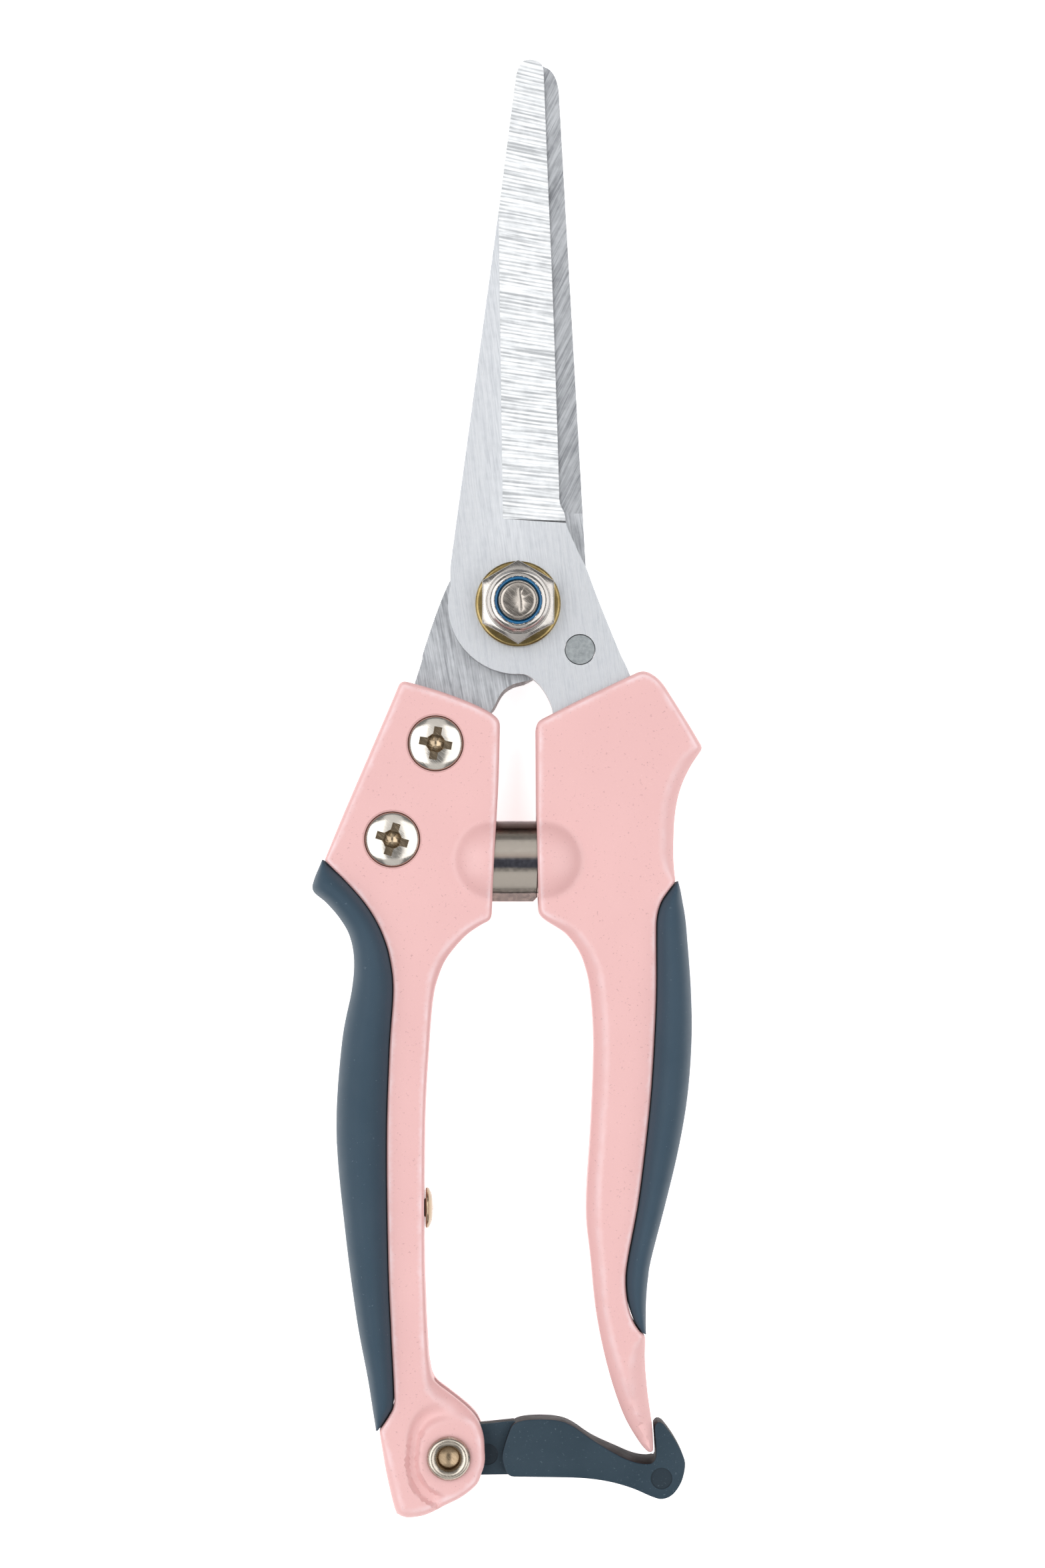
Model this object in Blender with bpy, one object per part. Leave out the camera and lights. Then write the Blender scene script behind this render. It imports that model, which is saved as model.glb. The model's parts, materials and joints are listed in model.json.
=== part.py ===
"""Floral snips: two long straight blades on a bolted pivot, two cast handles with soft grips,
a volute spring between them and a swinging catch that holds the handles closed.

The snips lie flat, blade tips along +Y, nut side up along +Z, closed and latched.
Outlines are in millimetres from the pivot axis; meshes are built in metres.
"""
import math

import bmesh
import bpy
from mathutils import Matrix, Vector

MM = 0.001
GAP = 0.3                    # clearance between touching pieces
CURVE_SIDES = 28             # facets of a medium round piece

# Where the pivot axis stands, so that the footprint's centre is the origin.
PIVOT_X = 1.55
PIVOT_Y = 25.35
MID_Z = 7.2                  # plane between the two blades

BLADE_THICKNESS = 2.5
EDGE_THICKNESS = 0.6         # what the grind leaves at the cutting edge
HANDLE_THICKNESS = 9.6
HANDLE_ROUND = 0.8
HALF_HANDLE = HANDLE_THICKNESS / 2
HANDLE_FRONT = MID_Z + HALF_HANDLE
GRIP_CROWN = 7.2             # half thickness of a grip at its fullest

BOLT_RADIUS = 2.9
BOLT_TOP = 17.4
BOLT_HEAD_RADIUS = 5.6
WASHER_RADIUS = 6.0
WASHER_THICKNESS = 1.0
NUT_ACROSS_FLATS = 10.0
NUT_BASE = 11.45
NUT_SHOULDER = 15.2
NUT_TOP = 17.0
COLLAR_RADIUS = 4.4
NYLON_OUTER = 3.7
NYLON_INNER = 3.2

STOP_PIN_PLACE = (8.7, -6.35)
STOP_PIN_RADIUS = 2.1

SCREW_HEAD_RADIUS = 3.75
SCREW_HEAD_HEIGHT = 1.9
SCREW_SHANK_RADIUS = 1.85
COUNTERBORE_DEPTH = 1.4
LEFT_SCREWS = {"upper": (-11.5, -19.6), "lower": (-17.55, -33.0)}
RIGHT_SCREWS = {"upper": (11.0, -19.4), "lower": (14.4, -32.2)}
SCREW_TURN = {"upper": 10.0, "lower": 16.5}
SCREW_END = 3.5              # how far a screw reaches past the middle plane
RECESS_HALF = 0.55
RECESS_REACH = 2.0

SPRING_Y = -35.9
POCKET_RADIUS = 6.35
POCKET_FLOOR = 5.6
MOUTH_RADIUS = 8.5
BULGE_RADIUS = 7.2
BULGE_X = 3.6
MOUTH_FACE = {-1: 3.45, 1: 2.95}     # where the left and right bulges are faced off
PEG_RADIUS = 1.9
PEG_END = 3.6
STRIP_THICKNESS = 0.45
STRIP_WIDTH = 8.0
STRIP_OUTER_RADIUS = 5.9
STRIP_PITCH = 0.85
STRIP_TURNS = 3
STRIP_STEPS = 20             # facets in one turn of the strip
STRIP_START = -80            # degrees from the front where the outer turn begins

CATCH_X = -9.65
CATCH_Y = -119.1
SHANK_HALF = 1.5
HOOK_HALF = 3.0
EYE_RADIUS = 4.3
RIVET_RADIUS = 1.9
RIVET_RIM_RADIUS = 3.1
RIVET_BORE_RADIUS = 1.65
# The space between the cheeks that the catch swings in, relative to the rivet.
CATCH_SLOT = [(-2.6, 10.6), (-5.3, 6.0), (-5.3, -4.0), (-4.9, -10.0), (9.0, -10.0), (9.0, 10.6)]

STUD_Y = -84.6
STUD_SEAT_X = -13.05
STUD_RADIUS = 2.85
STUD_SHANK_RADIUS = 1.2
STUD_SHANK_END = 2.8         # how far the stud's shank reaches behind its seat

# Tangs, as the handles' slots receive them.
LEFT_TANG = [(-13.3, -6.6), (-14.4, -10.6), (-22.4, -33.5), (-21.6, -36.4),
             (-13.8, -37.9), (-4.9, -17.5), (-3.9, -15.1), (-3.4, -14.3)]
RIGHT_TANG = [(4.0, -12.7), (4.9, -15.2), (5.8, -20.0), (11.6, -37.6), (17.6, -36.8),
              (18.3, -33.0), (18.3, -17.0), (15.6, -9.7), (14.4, -7.1)]

# Lines where the grips meet the handles, top to bottom.
LEFT_SEAM = [(-27.0, -35.9), (-24.0, -38.9), (-21.7, -41.5), (-20.0, -44.0), (-18.8, -46.5),
             (-17.9, -49.5), (-17.4, -54.0), (-17.9, -62.0), (-18.3, -75.0), (-18.1, -91.5),
             (-17.7, -101.5), (-17.3, -109.0), (-17.5, -112.6), (-19.3, -115.3)]
LEFT_GRIP_EDGE = [(-27.5, -35.75), (-29.0, -39.6), (-27.0, -41.7), (-25.0, -44.0), (-23.6, -46.5),
                  (-23.0, -49.8), (-23.4, -54.0), (-24.7, -61.5), (-25.5, -74.0), (-24.4, -87.0),
                  (-22.6, -100.0), (-21.1, -108.0), (-20.4, -112.4), (-19.9, -115.4)]
RIGHT_SEAM = [(22.0, -39.0), (20.6, -40.6), (19.6, -42.8), (19.3, -46.5), (19.3, -54.0),
              (19.0, -61.5), (18.5, -69.0), (17.7, -76.5), (16.7, -84.0), (15.3, -91.5),
              (15.0, -94.5), (15.3, -97.4), (16.2, -100.4), (17.4, -101.9)]
RIGHT_GRIP_EDGE = [(22.5, -38.7), (23.0, -40.8), (23.4, -43.2), (23.8, -47.0), (24.3, -54.0),
                   (24.4, -61.0), (23.8, -69.0), (22.5, -76.5), (20.7, -84.0), (18.7, -91.5),
                   (18.2, -94.5), (17.95, -97.4), (17.95, -100.4), (17.95, -102.0)]
RAIL_DEPTH = 2.0             # how far a handle's rail reaches into its grip
RAIL_HALF = 2.0
RAIL_SPAN = slice(5, 10)     # stations of the seam that carry the rail

# Half of a grip's cross-section: share of its width, share of its half thickness.
GRIP_SECTION = [(0.0, 0.667), (0.14, 0.88), (0.36, 1.0), (0.62, 0.97), (0.84, 0.76), (0.97, 0.4)]


# ---------- shapes ----------

def arc(centre, radius, start, end, steps):
    """Points on a circle, angles in degrees."""
    points = []
    for i in range(steps + 1):
        angle = math.radians(start + (end - start) * i / steps)
        points.append((centre[0] + radius * math.cos(angle), centre[1] + radius * math.sin(angle)))
    return points


def shifted(points, dx, dy=0.0):
    return [(x + dx, y + dy) for x, y in points]


def grown(points, distance):
    """A counter-clockwise outline moved outwards by a distance."""
    result = []
    for i, here in enumerate(points):
        p = Vector(here)
        before = (p - Vector(points[i - 1])).normalized()
        after = (Vector(points[(i + 1) % len(points)]) - p).normalized()
        normal = Vector((before.y + after.y, -before.x - after.x)).normalized()
        lean = max(0.4, normal.dot(Vector((before.y, -before.x))))
        result.append(tuple(p + normal * distance / lean))
    return result


def new_object(name, mesh_data, material, parent):
    obj = bpy.data.objects.new(name, mesh_data)
    bpy.context.scene.collection.objects.link(obj)
    if material:
        mesh_data.materials.append(material)
    obj.parent = parent
    return obj


def finish_mesh(bm, name, smooth=False):
    bmesh.ops.recalc_face_normals(bm, faces=bm.faces)
    mesh_data = bpy.data.meshes.new(name)
    bm.to_mesh(mesh_data)
    bm.free()
    if smooth:
        mesh_data.shade_smooth()
        mesh_data.set_sharp_from_angle(angle=math.radians(35))
    return mesh_data


def plate(name, outline, low, high, material=None, parent=None):
    """A flat outline extruded from one height to another."""
    bm = bmesh.new()
    corners = [bm.verts.new((x * MM, y * MM, low * MM)) for x, y in outline]
    base = bm.faces.new(corners)
    grown_part = bmesh.ops.extrude_face_region(bm, geom=[base])
    top = [v for v in grown_part["geom"] if isinstance(v, bmesh.types.BMVert)]
    bmesh.ops.translate(bm, verts=top, vec=(0, 0, (high - low) * MM))
    return new_object(name, finish_mesh(bm, name), material, parent)


def turned(name, profile, material, parent, place=(0, 0), sides=CURVE_SIDES, matrix=None):
    """A closed (radius, height) profile spun about a vertical axis at a place."""
    bm = bmesh.new()
    rings = []
    for radius, height in profile:
        if radius == 0:
            rings.append([bm.verts.new((0, 0, height * MM))])
            continue
        ring = []
        for i in range(sides):
            angle = 2 * math.pi * i / sides
            ring.append(bm.verts.new((radius * math.cos(angle) * MM, radius * math.sin(angle) * MM,
                                      height * MM)))
        rings.append(ring)
    for one, two in zip(rings, rings[1:] + rings[:1]):
        for i in range(sides):
            j = (i + 1) % sides
            if len(one) > 1 and len(two) > 1:
                bm.faces.new((one[i], one[j], two[j], two[i]))
            elif len(one) > 1:
                bm.faces.new((one[i], one[j], two[0]))
            elif len(two) > 1:
                bm.faces.new((one[0], two[j], two[i]))
    if matrix:
        bm.transform(matrix)
    bmesh.ops.translate(bm, verts=bm.verts, vec=(place[0] * MM, place[1] * MM, 0))
    return new_object(name, finish_mesh(bm, name, smooth=True), material, parent)


def rod(name, place, radius, low, high, sides=CURVE_SIDES):
    """A plain upright cylinder, used as a cutter."""
    profile = [(0, low), (radius, low), (radius, high), (0, high)]
    return turned(name, profile, None, None, place, sides)


def along_x(place_y):
    """Turns an upright shape so that its axis runs along +X at the height of the middle plane."""
    lay_down = Matrix.Rotation(math.radians(90), 4, "Y")
    return Matrix.Translation((0, place_y * MM, MID_Z * MM)) @ lay_down


def combine(target, tool, operation):
    """A Boolean with a hidden tool, which follows the same parent."""
    tool.parent = target.parent
    tool.hide_render = True
    tool.display_type = "WIRE"
    modifier = target.modifiers.new(tool.name, "BOOLEAN")
    modifier.operation = operation
    modifier.solver = "EXACT"
    modifier.object = tool


def soften(obj, width, segments=2):
    modifier = obj.modifiers.new("rounded_edges", "BEVEL")
    modifier.width = width * MM
    modifier.segments = segments
    modifier.limit_method = "ANGLE"
    modifier.angle_limit = math.radians(50)


# ---------- materials ----------

def material(name, colour, roughness, metallic=0.0):
    result = bpy.data.materials.new(name)
    result.use_nodes = True
    shader = result.node_tree.nodes["Principled BSDF"]
    shader.inputs["Base Color"].default_value = (*colour, 1.0)
    shader.inputs["Roughness"].default_value = roughness
    shader.inputs["Metallic"].default_value = metallic
    return result


def steel(name):
    return material(name, (0.62, 0.64, 0.67), 0.35, 1.0)


def nickel(name):
    return material(name, (0.66, 0.62, 0.56), 0.2, 1.0)


def pink_paint(name):
    return material(name, (0.87, 0.55, 0.54), 0.42)


def slate_rubber(name):
    return material(name, (0.05, 0.10, 0.15), 0.6)


# ---------- blades ----------

def front_blade_outline():
    tip = [(3.6, 76.0), (2.9, 76.65), (1.7, 76.8), (0.4, 76.3), (-0.2, 75.0)]
    spine = [(-2.85, 54.2), (-9.6, 4.0)]
    heel = arc((0, 0), 9.8, 162, 264, 12)
    crotch = [(0.75, -9.8), (1.9, -10.3), (3.1, -11.4)]
    shoulder = [(12.7, -3.0), (10.9, 1.5), (9.6, 5.0), (8.6, 7.0), (6.8, 11.0), (6.4, 13.3)]
    edge = [(5.8, 14.8), (5.6, 23.2), (4.9, 43.8), (4.2, 60.6)]
    return tip + spine + heel + crotch + RIGHT_TANG + shoulder + edge


def rear_blade_outline():
    """The heel is notched so that the stop pin can swing between its two shoulders."""
    tip = [(5.6, 73.2), (5.2, 74.5), (4.2, 75.8), (2.9, 76.2), (2.0, 75.0)]
    edge = [(-4.7, 14.8)]
    shoulder = [(-5.5, 12.9), (-5.9, 11.0), (-7.6, 7.0), (-9.6, 3.4), (-12.1, -2.9)]
    crotch = [(-2.7, -12.9), (-2.0, -11.9), (-0.75, -11.1), (0.75, -10.7), (2.5, -10.2)]
    heel = arc((0, 0), 9.75, -72, -48.3, 4)
    notch = arc((0, 0), 8.2, -47, -3, 6)
    spine = [(9.75, -0.6), (9.7, 3.0)]
    return tip + edge + shoulder + LEFT_TANG + crotch + heel + notch + spine


def grind(name, blade_high, side):
    """The wedge taken off a blade's outer face, from a line beside the spine to the edge."""
    bm = bmesh.new()
    corners = []
    for y, line_x, edge_x in ((12.4, -2.1, 5.85), (80.0, -3.4, 3.45)):
        depth = BLADE_THICKNESS - EDGE_THICKNESS
        slope = depth / (edge_x - line_x)
        start = line_x - 1.0 / slope
        far = edge_x + 2.0
        for x, z in ((start, 1.0), (far, 1.0), (far, -slope * (far - line_x))):
            corners.append(bm.verts.new((x * side * MM, y * MM, (blade_high + z * side) * MM)))
    bm.faces.new(corners[:3])
    bm.faces.new(corners[3:])
    for i in range(3):
        j = (i + 1) % 3
        bm.faces.new((corners[i], corners[j], corners[3 + j], corners[3 + i]))
    return new_object(name, finish_mesh(bm, name), None, None)


def blade(name, outline, low, side, screws, parent):
    """side is 1 for the front blade and -1 for the rear one, whose grind faces the other way."""
    high = low + BLADE_THICKNESS
    result = plate(name, outline, low, high, steel(name), parent)
    combine(result, grind(name + "_grind", high if side > 0 else low, side), "DIFFERENCE")
    combine(result, rod(name + "_bore", (0, 0), BOLT_RADIUS + GAP, low - 1, high + 1), "DIFFERENCE")
    for key, place in screws.items():
        hole = rod(f"{name}_{key}_hole", place, SCREW_SHANK_RADIUS + GAP, low - 1, high + 1, 20)
        combine(result, hole, "DIFFERENCE")
    return result


def stop_pin(blade_obj, low, parent):
    high = low + BLADE_THICKNESS
    hole = rod("stop_pin_hole", STOP_PIN_PLACE, STOP_PIN_RADIUS + GAP, low - 1, high + 1)
    combine(blade_obj, hole, "DIFFERENCE")
    reach = MID_Z - GAP / 2 - BLADE_THICKNESS
    profile = [(0, reach), (1.8, reach), (STOP_PIN_RADIUS, reach + 0.3), (STOP_PIN_RADIUS, high), (0, high)]
    return turned("stop_pin", profile, steel("stop_pin"), parent, STOP_PIN_PLACE)


# ---------- pivot hardware ----------

def washer(name, low, parent):
    high = low + WASHER_THICKNESS
    inner = BOLT_RADIUS + GAP
    profile = [(inner, low), (WASHER_RADIUS - 0.2, low), (WASHER_RADIUS, low + 0.2),
               (WASHER_RADIUS, high - 0.35), (WASHER_RADIUS - 0.4, high), (inner, high)]
    return turned(name, profile, material(name, (0.55, 0.43, 0.2), 0.3, 1.0), parent)


def pivot_bolt(parent):
    head_top = MID_Z - GAP / 2 - BLADE_THICKNESS - GAP - WASHER_THICKNESS - GAP
    chamfer = 0.5
    profile = [(0, 0), (BOLT_HEAD_RADIUS - 0.9, 0), (BOLT_HEAD_RADIUS, 1.1), (BOLT_HEAD_RADIUS, head_top),
               (BOLT_RADIUS, head_top), (BOLT_RADIUS, BOLT_TOP - chamfer),
               (BOLT_RADIUS - chamfer, BOLT_TOP), (0, BOLT_TOP)]
    bolt = turned("pivot_bolt", profile, nickel("pivot_bolt"), parent)
    socket = rod("pivot_bolt_socket", (0, 0), 2.3, -1.0, 1.8, 6)
    combine(bolt, socket, "DIFFERENCE")
    return bolt


def pivot_nut(parent):
    """A hexagon with a round collar, which holds the nylon ring in a chamber."""
    inner = BOLT_RADIUS + GAP
    corner = NUT_ACROSS_FLATS / 2 / math.cos(math.radians(30))
    hexagon = arc((0, 0), corner, 30, 330, 5)
    nut = plate("pivot_nut", hexagon, NUT_BASE, NUT_SHOULDER, nickel("pivot_nut"), parent)
    collar = turned("pivot_nut_collar", [(0, NUT_SHOULDER - 1), (COLLAR_RADIUS, NUT_SHOULDER - 1),
                                         (COLLAR_RADIUS, NUT_TOP - 0.5), (COLLAR_RADIUS - 0.4, NUT_TOP),
                                         (0, NUT_TOP)], None, None)
    combine(nut, collar, "UNION")
    chamber = NYLON_OUTER + 0.25
    bore = turned("pivot_nut_bore", [(0, NUT_BASE - 1), (inner, NUT_BASE - 1), (inner, 14.9), (chamber, 14.9),
                                     (chamber, NUT_TOP - 0.35), (NYLON_INNER + 0.1, NUT_TOP - 0.35),
                                     (NYLON_INNER + 0.1, NUT_TOP + 1), (0, NUT_TOP + 1)], None, None)
    combine(nut, bore, "DIFFERENCE")
    ring = [(NYLON_INNER, 15.2), (NYLON_OUTER, 15.2), (NYLON_OUTER, NUT_TOP - 0.65),
            (NYLON_INNER, NUT_TOP - 0.65)]
    turned("nut_nylon_ring", ring, material("nut_nylon_ring", (0.02, 0.16, 0.42), 0.35), parent)
    return nut


# ---------- handles ----------

def left_handle_outline():
    top = [(-2.7, -16.9), (-3.3, -15.6), (-7.3, -13.6), (-11.5, -12.1), (-16.0, -10.7), (-16.9, -11.6)]
    outer = [(-21.0, -21.6), (-24.6, -30.0)]
    heel = [(-18.4, -121.0), (-17.4, -125.7), (-16.6, -127.0), (-15.2, -127.5), (-12.6, -126.8),
            (-10.4, -125.4), (-8.1, -124.6)]
    boss = arc((CATCH_X, CATCH_Y), 5.1, -50, 35, 6)
    throat = [(-6.6, -113.6), (-9.25, -110.9), (-11.2, -109.0), (-12.2, -107.0), (-12.7, -102.9)]
    inner = [(-13.1, -89.0), (-13.0, -72.0), (-12.4, -61.0), (-11.9, -55.3), (-11.2, -52.3)]
    web = [(-10.0, -49.6), (-7.5, -46.6), (-4.6, -44.6), (-3.6, -43.4), (-3.3, -35.0)]
    return top + outer + LEFT_SEAM + heel + boss + throat + inner + web


def right_handle_outline():
    inner = [(2.5, -16.8), (2.6, -30.0), (2.9, -43.2), (4.0, -44.4), (6.7, -46.1), (8.6, -48.5),
             (9.7, -51.4), (10.3, -55.0), (10.6, -61.0), (10.4, -69.0), (10.0, -77.0), (9.6, -84.0)]
    tail = [(10.2, -91.5), (10.9, -98.5), (11.9, -104.0), (13.2, -109.0), (14.9, -113.4),
            (17.0, -117.0), (18.3, -118.6), (18.8, -118.3), (18.7, -114.5), (18.1, -110.0), (17.7, -105.7)]
    outer = [(21.75, -34.6), (21.9, -30.2), (22.6, -26.3), (24.0, -23.1), (25.9, -20.1)]
    top = [(19.7, -10.2), (18.9, -9.4), (17.7, -9.2), (3.2, -15.9)]
    return inner + tail + RIGHT_SEAM[::-1] + outer + top


def slot(name, tang, low):
    """The pocket that takes a blade's tang, open at the handle's top edge."""
    return plate(name, grown(tang, GAP), low - GAP, low + BLADE_THICKNESS + GAP)


def spring_seat(handle, side):
    """A round bulge on the inner edge, bored for the spring, with a peg that centres it."""
    name = handle.name
    face = MOUTH_FACE[side]
    ball = [(0, -BULGE_RADIUS)] + arc((0, 0), BULGE_RADIUS, -78, 78, 13) + [(0, BULGE_RADIUS)]
    seat_x = BULGE_X * side * MM
    bulge = turned(name + "_bulge", ball, None, None,
                   matrix=Matrix.Translation((seat_x, 0, 0)) @ along_x(SPRING_Y))
    combine(handle, bulge, "UNION")
    low, high = sorted((-POCKET_FLOOR * side, face * side))
    mouth = turned(name + "_mouth", [(0, low), (MOUTH_RADIUS, low), (MOUTH_RADIUS, high), (0, high)],
                   None, None, sides=44, matrix=along_x(SPRING_Y))
    combine(handle, mouth, "DIFFERENCE")
    low, high = sorted((0, POCKET_FLOOR * side))
    pocket = turned(name + "_pocket", [(0, low), (POCKET_RADIUS, low), (POCKET_RADIUS, high), (0, high)],
                    None, None, sides=36, matrix=along_x(SPRING_Y))
    combine(handle, pocket, "DIFFERENCE")
    low, high = sorted((PEG_END * side, (POCKET_FLOOR + 0.5) * side))
    peg = turned(name + "_peg", [(0, low), (PEG_RADIUS, low), (PEG_RADIUS, high), (0, high)],
                 None, None, sides=20, matrix=along_x(SPRING_Y))
    combine(handle, peg, "UNION")


def rail(name, seam, side, depth, half, back):
    """A strip along the seam, from behind it to a depth inside the grip."""
    near = shifted(seam[RAIL_SPAN], -side * back)
    far = shifted(seam[RAIL_SPAN], side * depth)
    return plate(name, near + far[::-1], MID_Z - half, MID_Z + half)


def handle_blank(name, outline, parent, side, tang, tang_low):
    handle = plate(name, outline, MID_Z - HALF_HANDLE, HANDLE_FRONT, pink_paint(name), parent)
    soften(handle, HANDLE_ROUND)
    spring_seat(handle, side)
    combine(handle, slot(name + "_slot", tang, tang_low), "DIFFERENCE")
    return handle


def screw_seats(handle, screws, front):
    """Counterbored holes that end just past the tang."""
    head_seat = HALF_HANDLE - COUNTERBORE_DEPTH
    for key, place in screws.items():
        low, high = sorted((MID_Z + front * head_seat, MID_Z + front * (HALF_HANDLE + 1)))
        counterbore = rod(f"{handle.name}_{key}_counterbore", place, SCREW_HEAD_RADIUS + GAP, low, high)
        combine(handle, counterbore, "DIFFERENCE")
        end = SCREW_END + GAP
        low, high = sorted((MID_Z - front * end, MID_Z + front * (head_seat + 0.1)))
        hole = rod(f"{handle.name}_{key}_hole", place, SCREW_SHANK_RADIUS + GAP, low, high, 20)
        combine(handle, hole, "DIFFERENCE")


def catch_slot(handle):
    """The gap between the two cheeks at the left handle's end, where the catch swings."""
    cut = plate("left_handle_catch_slot", shifted(CATCH_SLOT, CATCH_X, CATCH_Y),
                MID_Z - SHANK_HALF - GAP, MID_Z + SHANK_HALF + GAP)
    combine(handle, cut, "DIFFERENCE")
    bore = rod("left_handle_rivet_bore", (CATCH_X, CATCH_Y), RIVET_RADIUS + GAP, 0, HANDLE_FRONT + 1, 20)
    combine(handle, bore, "DIFFERENCE")


def left_handle(parent, blade_low):
    handle = handle_blank("left_handle", left_handle_outline(), parent, -1, LEFT_TANG, blade_low)
    combine(handle, rail("left_handle_rail", LEFT_SEAM, -1, RAIL_DEPTH, RAIL_HALF, 1.5), "UNION")
    screw_seats(handle, LEFT_SCREWS, 1)
    catch_slot(handle)
    stud_end = STUD_SEAT_X - STUD_SHANK_END - 0.4
    hole = STUD_SHANK_RADIUS + GAP
    stud_hole = turned("left_handle_stud_hole", [(0, stud_end), (hole, stud_end), (hole, -10), (0, -10)],
                       None, None, sides=16, matrix=along_x(STUD_Y))
    combine(handle, stud_hole, "DIFFERENCE")
    return handle


def right_handle(parent, blade_low):
    handle = handle_blank("right_handle", right_handle_outline(), parent, 1, RIGHT_TANG, blade_low)
    combine(handle, rail("right_handle_rail", RIGHT_SEAM, 1, RAIL_DEPTH, RAIL_HALF, 1.5), "UNION")
    screw_seats(handle, RIGHT_SCREWS, -1)
    return handle


def grip(name, seam, edge, side, parent):
    """A crowned strip lofted between the seam and the outer edge, grooved for the rail."""
    bm = bmesh.new()
    rings = []
    for near, far in zip(shifted(seam, side * GAP), edge):
        near = Vector(near)
        span = Vector(far) - near
        fullness = min(1.0, 0.62 + span.length / 12.0)
        ring = []
        for share, lift in GRIP_SECTION:
            point = near + span * share
            ring.append((point, lift * GRIP_CROWN * fullness))
        lower = [(p, -z) for p, z in ring[::-1]]
        rings.append([bm.verts.new((p.x * MM, p.y * MM, (MID_Z + z) * MM)) for p, z in ring + lower])
    for one, two in zip(rings, rings[1:]):
        for i in range(len(one)):
            j = (i + 1) % len(one)
            bm.faces.new((one[i], one[j], two[j], two[i]))
    bm.faces.new(rings[0])
    bm.faces.new(rings[-1])
    result = new_object(name, finish_mesh(bm, name, smooth=True), slate_rubber(name), parent)
    groove = rail(name + "_groove", seam, side, RAIL_DEPTH + GAP, RAIL_HALF + GAP, 1.0)
    combine(result, groove, "DIFFERENCE")
    return result


# ---------- fasteners ----------

def handle_screw(name, place, front, turn, parent):
    """A domed cross-recess screw; front is 1 when its head is on the nut side."""
    seat = HALF_HANDLE - COUNTERBORE_DEPTH + GAP
    profile = [(0, -SCREW_END), (SCREW_SHANK_RADIUS - 0.4, -SCREW_END), (SCREW_SHANK_RADIUS, 0.5 - SCREW_END),
               (SCREW_SHANK_RADIUS, seat), (SCREW_HEAD_RADIUS, seat), (SCREW_HEAD_RADIUS, seat + 0.7),
               (2.9, seat + 1.35), (1.6, seat + 1.8), (0, seat + SCREW_HEAD_HEIGHT)]
    stand = Matrix.Translation((0, 0, MID_Z * MM))
    if front < 0:
        stand = stand @ Matrix.Rotation(math.pi, 4, "X")
    screw = turned(name, profile, nickel(name), parent, place, matrix=stand)
    half, reach = RECESS_HALF, RECESS_REACH
    cross = [(half, half), (half, reach), (-half, reach), (-half, half), (-reach, half), (-reach, -half),
             (-half, -half), (-half, -reach), (half, -reach), (half, -half), (reach, -half), (reach, half)]
    spin = Matrix.Rotation(math.radians(-turn), 2)
    cross = [tuple(spin @ Vector(p)) for p in cross]
    low, high = sorted((MID_Z + front * (seat + 0.7), MID_Z + front * (seat + 4)))
    combine(screw, plate(name + "_recess", shifted(cross, *place), low, high), "DIFFERENCE")
    return screw


def catch_rivet(parent):
    """A semi-tubular rivet: a low head behind, and a rolled rim round its bore in front."""
    rear = MID_Z - HALF_HANDLE - GAP
    front = HANDLE_FRONT + GAP
    profile = [(0, rear - 1.2), (2.6, rear - 1.2), (3.4, rear - 0.5), (3.4, rear), (RIVET_RADIUS, rear),
               (RIVET_RADIUS, front), (RIVET_RIM_RADIUS - 0.1, front), (RIVET_RIM_RADIUS, front + 0.5),
               (2.6, front + 1.1), (2.1, front + 1.1), (RIVET_BORE_RADIUS, front + 0.6),
               (RIVET_BORE_RADIUS, front - 1.2), (0, front - 1.9)]
    return turned("catch_rivet", profile, nickel("catch_rivet"), parent, (CATCH_X, CATCH_Y))


def catch_rest_stud(parent):
    """A domed stud in the left handle's inner edge, beside which the open catch comes to rest."""
    head = STUD_SEAT_X + GAP
    tail = STUD_SEAT_X - STUD_SHANK_END
    profile = [(0, tail), (STUD_SHANK_RADIUS, tail), (STUD_SHANK_RADIUS, head), (STUD_RADIUS, head),
               (STUD_RADIUS - 0.2, head + 0.35), (1.8, head + 0.75), (0, head + 0.95)]
    return turned("catch_rest_stud", profile, nickel("catch_rest_stud"), parent,
                  sides=20, matrix=along_x(STUD_Y))


# ---------- spring and catch ----------

def volute_spring(parent):
    """One strip wound into a spiral whose turns also step sideways, so they telescope."""
    bm = bmesh.new()
    total = STRIP_TURNS * STRIP_STEPS
    step_aside = (POCKET_FLOOR - GAP) * 2 - STRIP_WIDTH
    sections = []
    for i in range(total + 1):
        share = i / total
        angle = math.radians(STRIP_START) + share * STRIP_TURNS * 2 * math.pi
        outer = STRIP_OUTER_RADIUS - STRIP_PITCH * STRIP_TURNS * share
        start = -(POCKET_FLOOR - GAP) + step_aside * share
        corners = []
        for x, radius in ((start, outer), (start + STRIP_WIDTH, outer),
                          (start + STRIP_WIDTH, outer - STRIP_THICKNESS), (start, outer - STRIP_THICKNESS)):
            corners.append(bm.verts.new((x * MM, (SPRING_Y + radius * math.sin(angle)) * MM,
                                         (MID_Z + radius * math.cos(angle)) * MM)))
        sections.append(corners)
    for one, two in zip(sections, sections[1:]):
        for i in range(4):
            j = (i + 1) % 4
            bm.faces.new((one[i], one[j], two[j], two[i]))
    bm.faces.new(sections[0])
    bm.faces.new(sections[-1])
    mesh_data = finish_mesh(bm, "volute_spring", smooth=True)
    return new_object("volute_spring", mesh_data, nickel("volute_spring"), parent)


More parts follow.
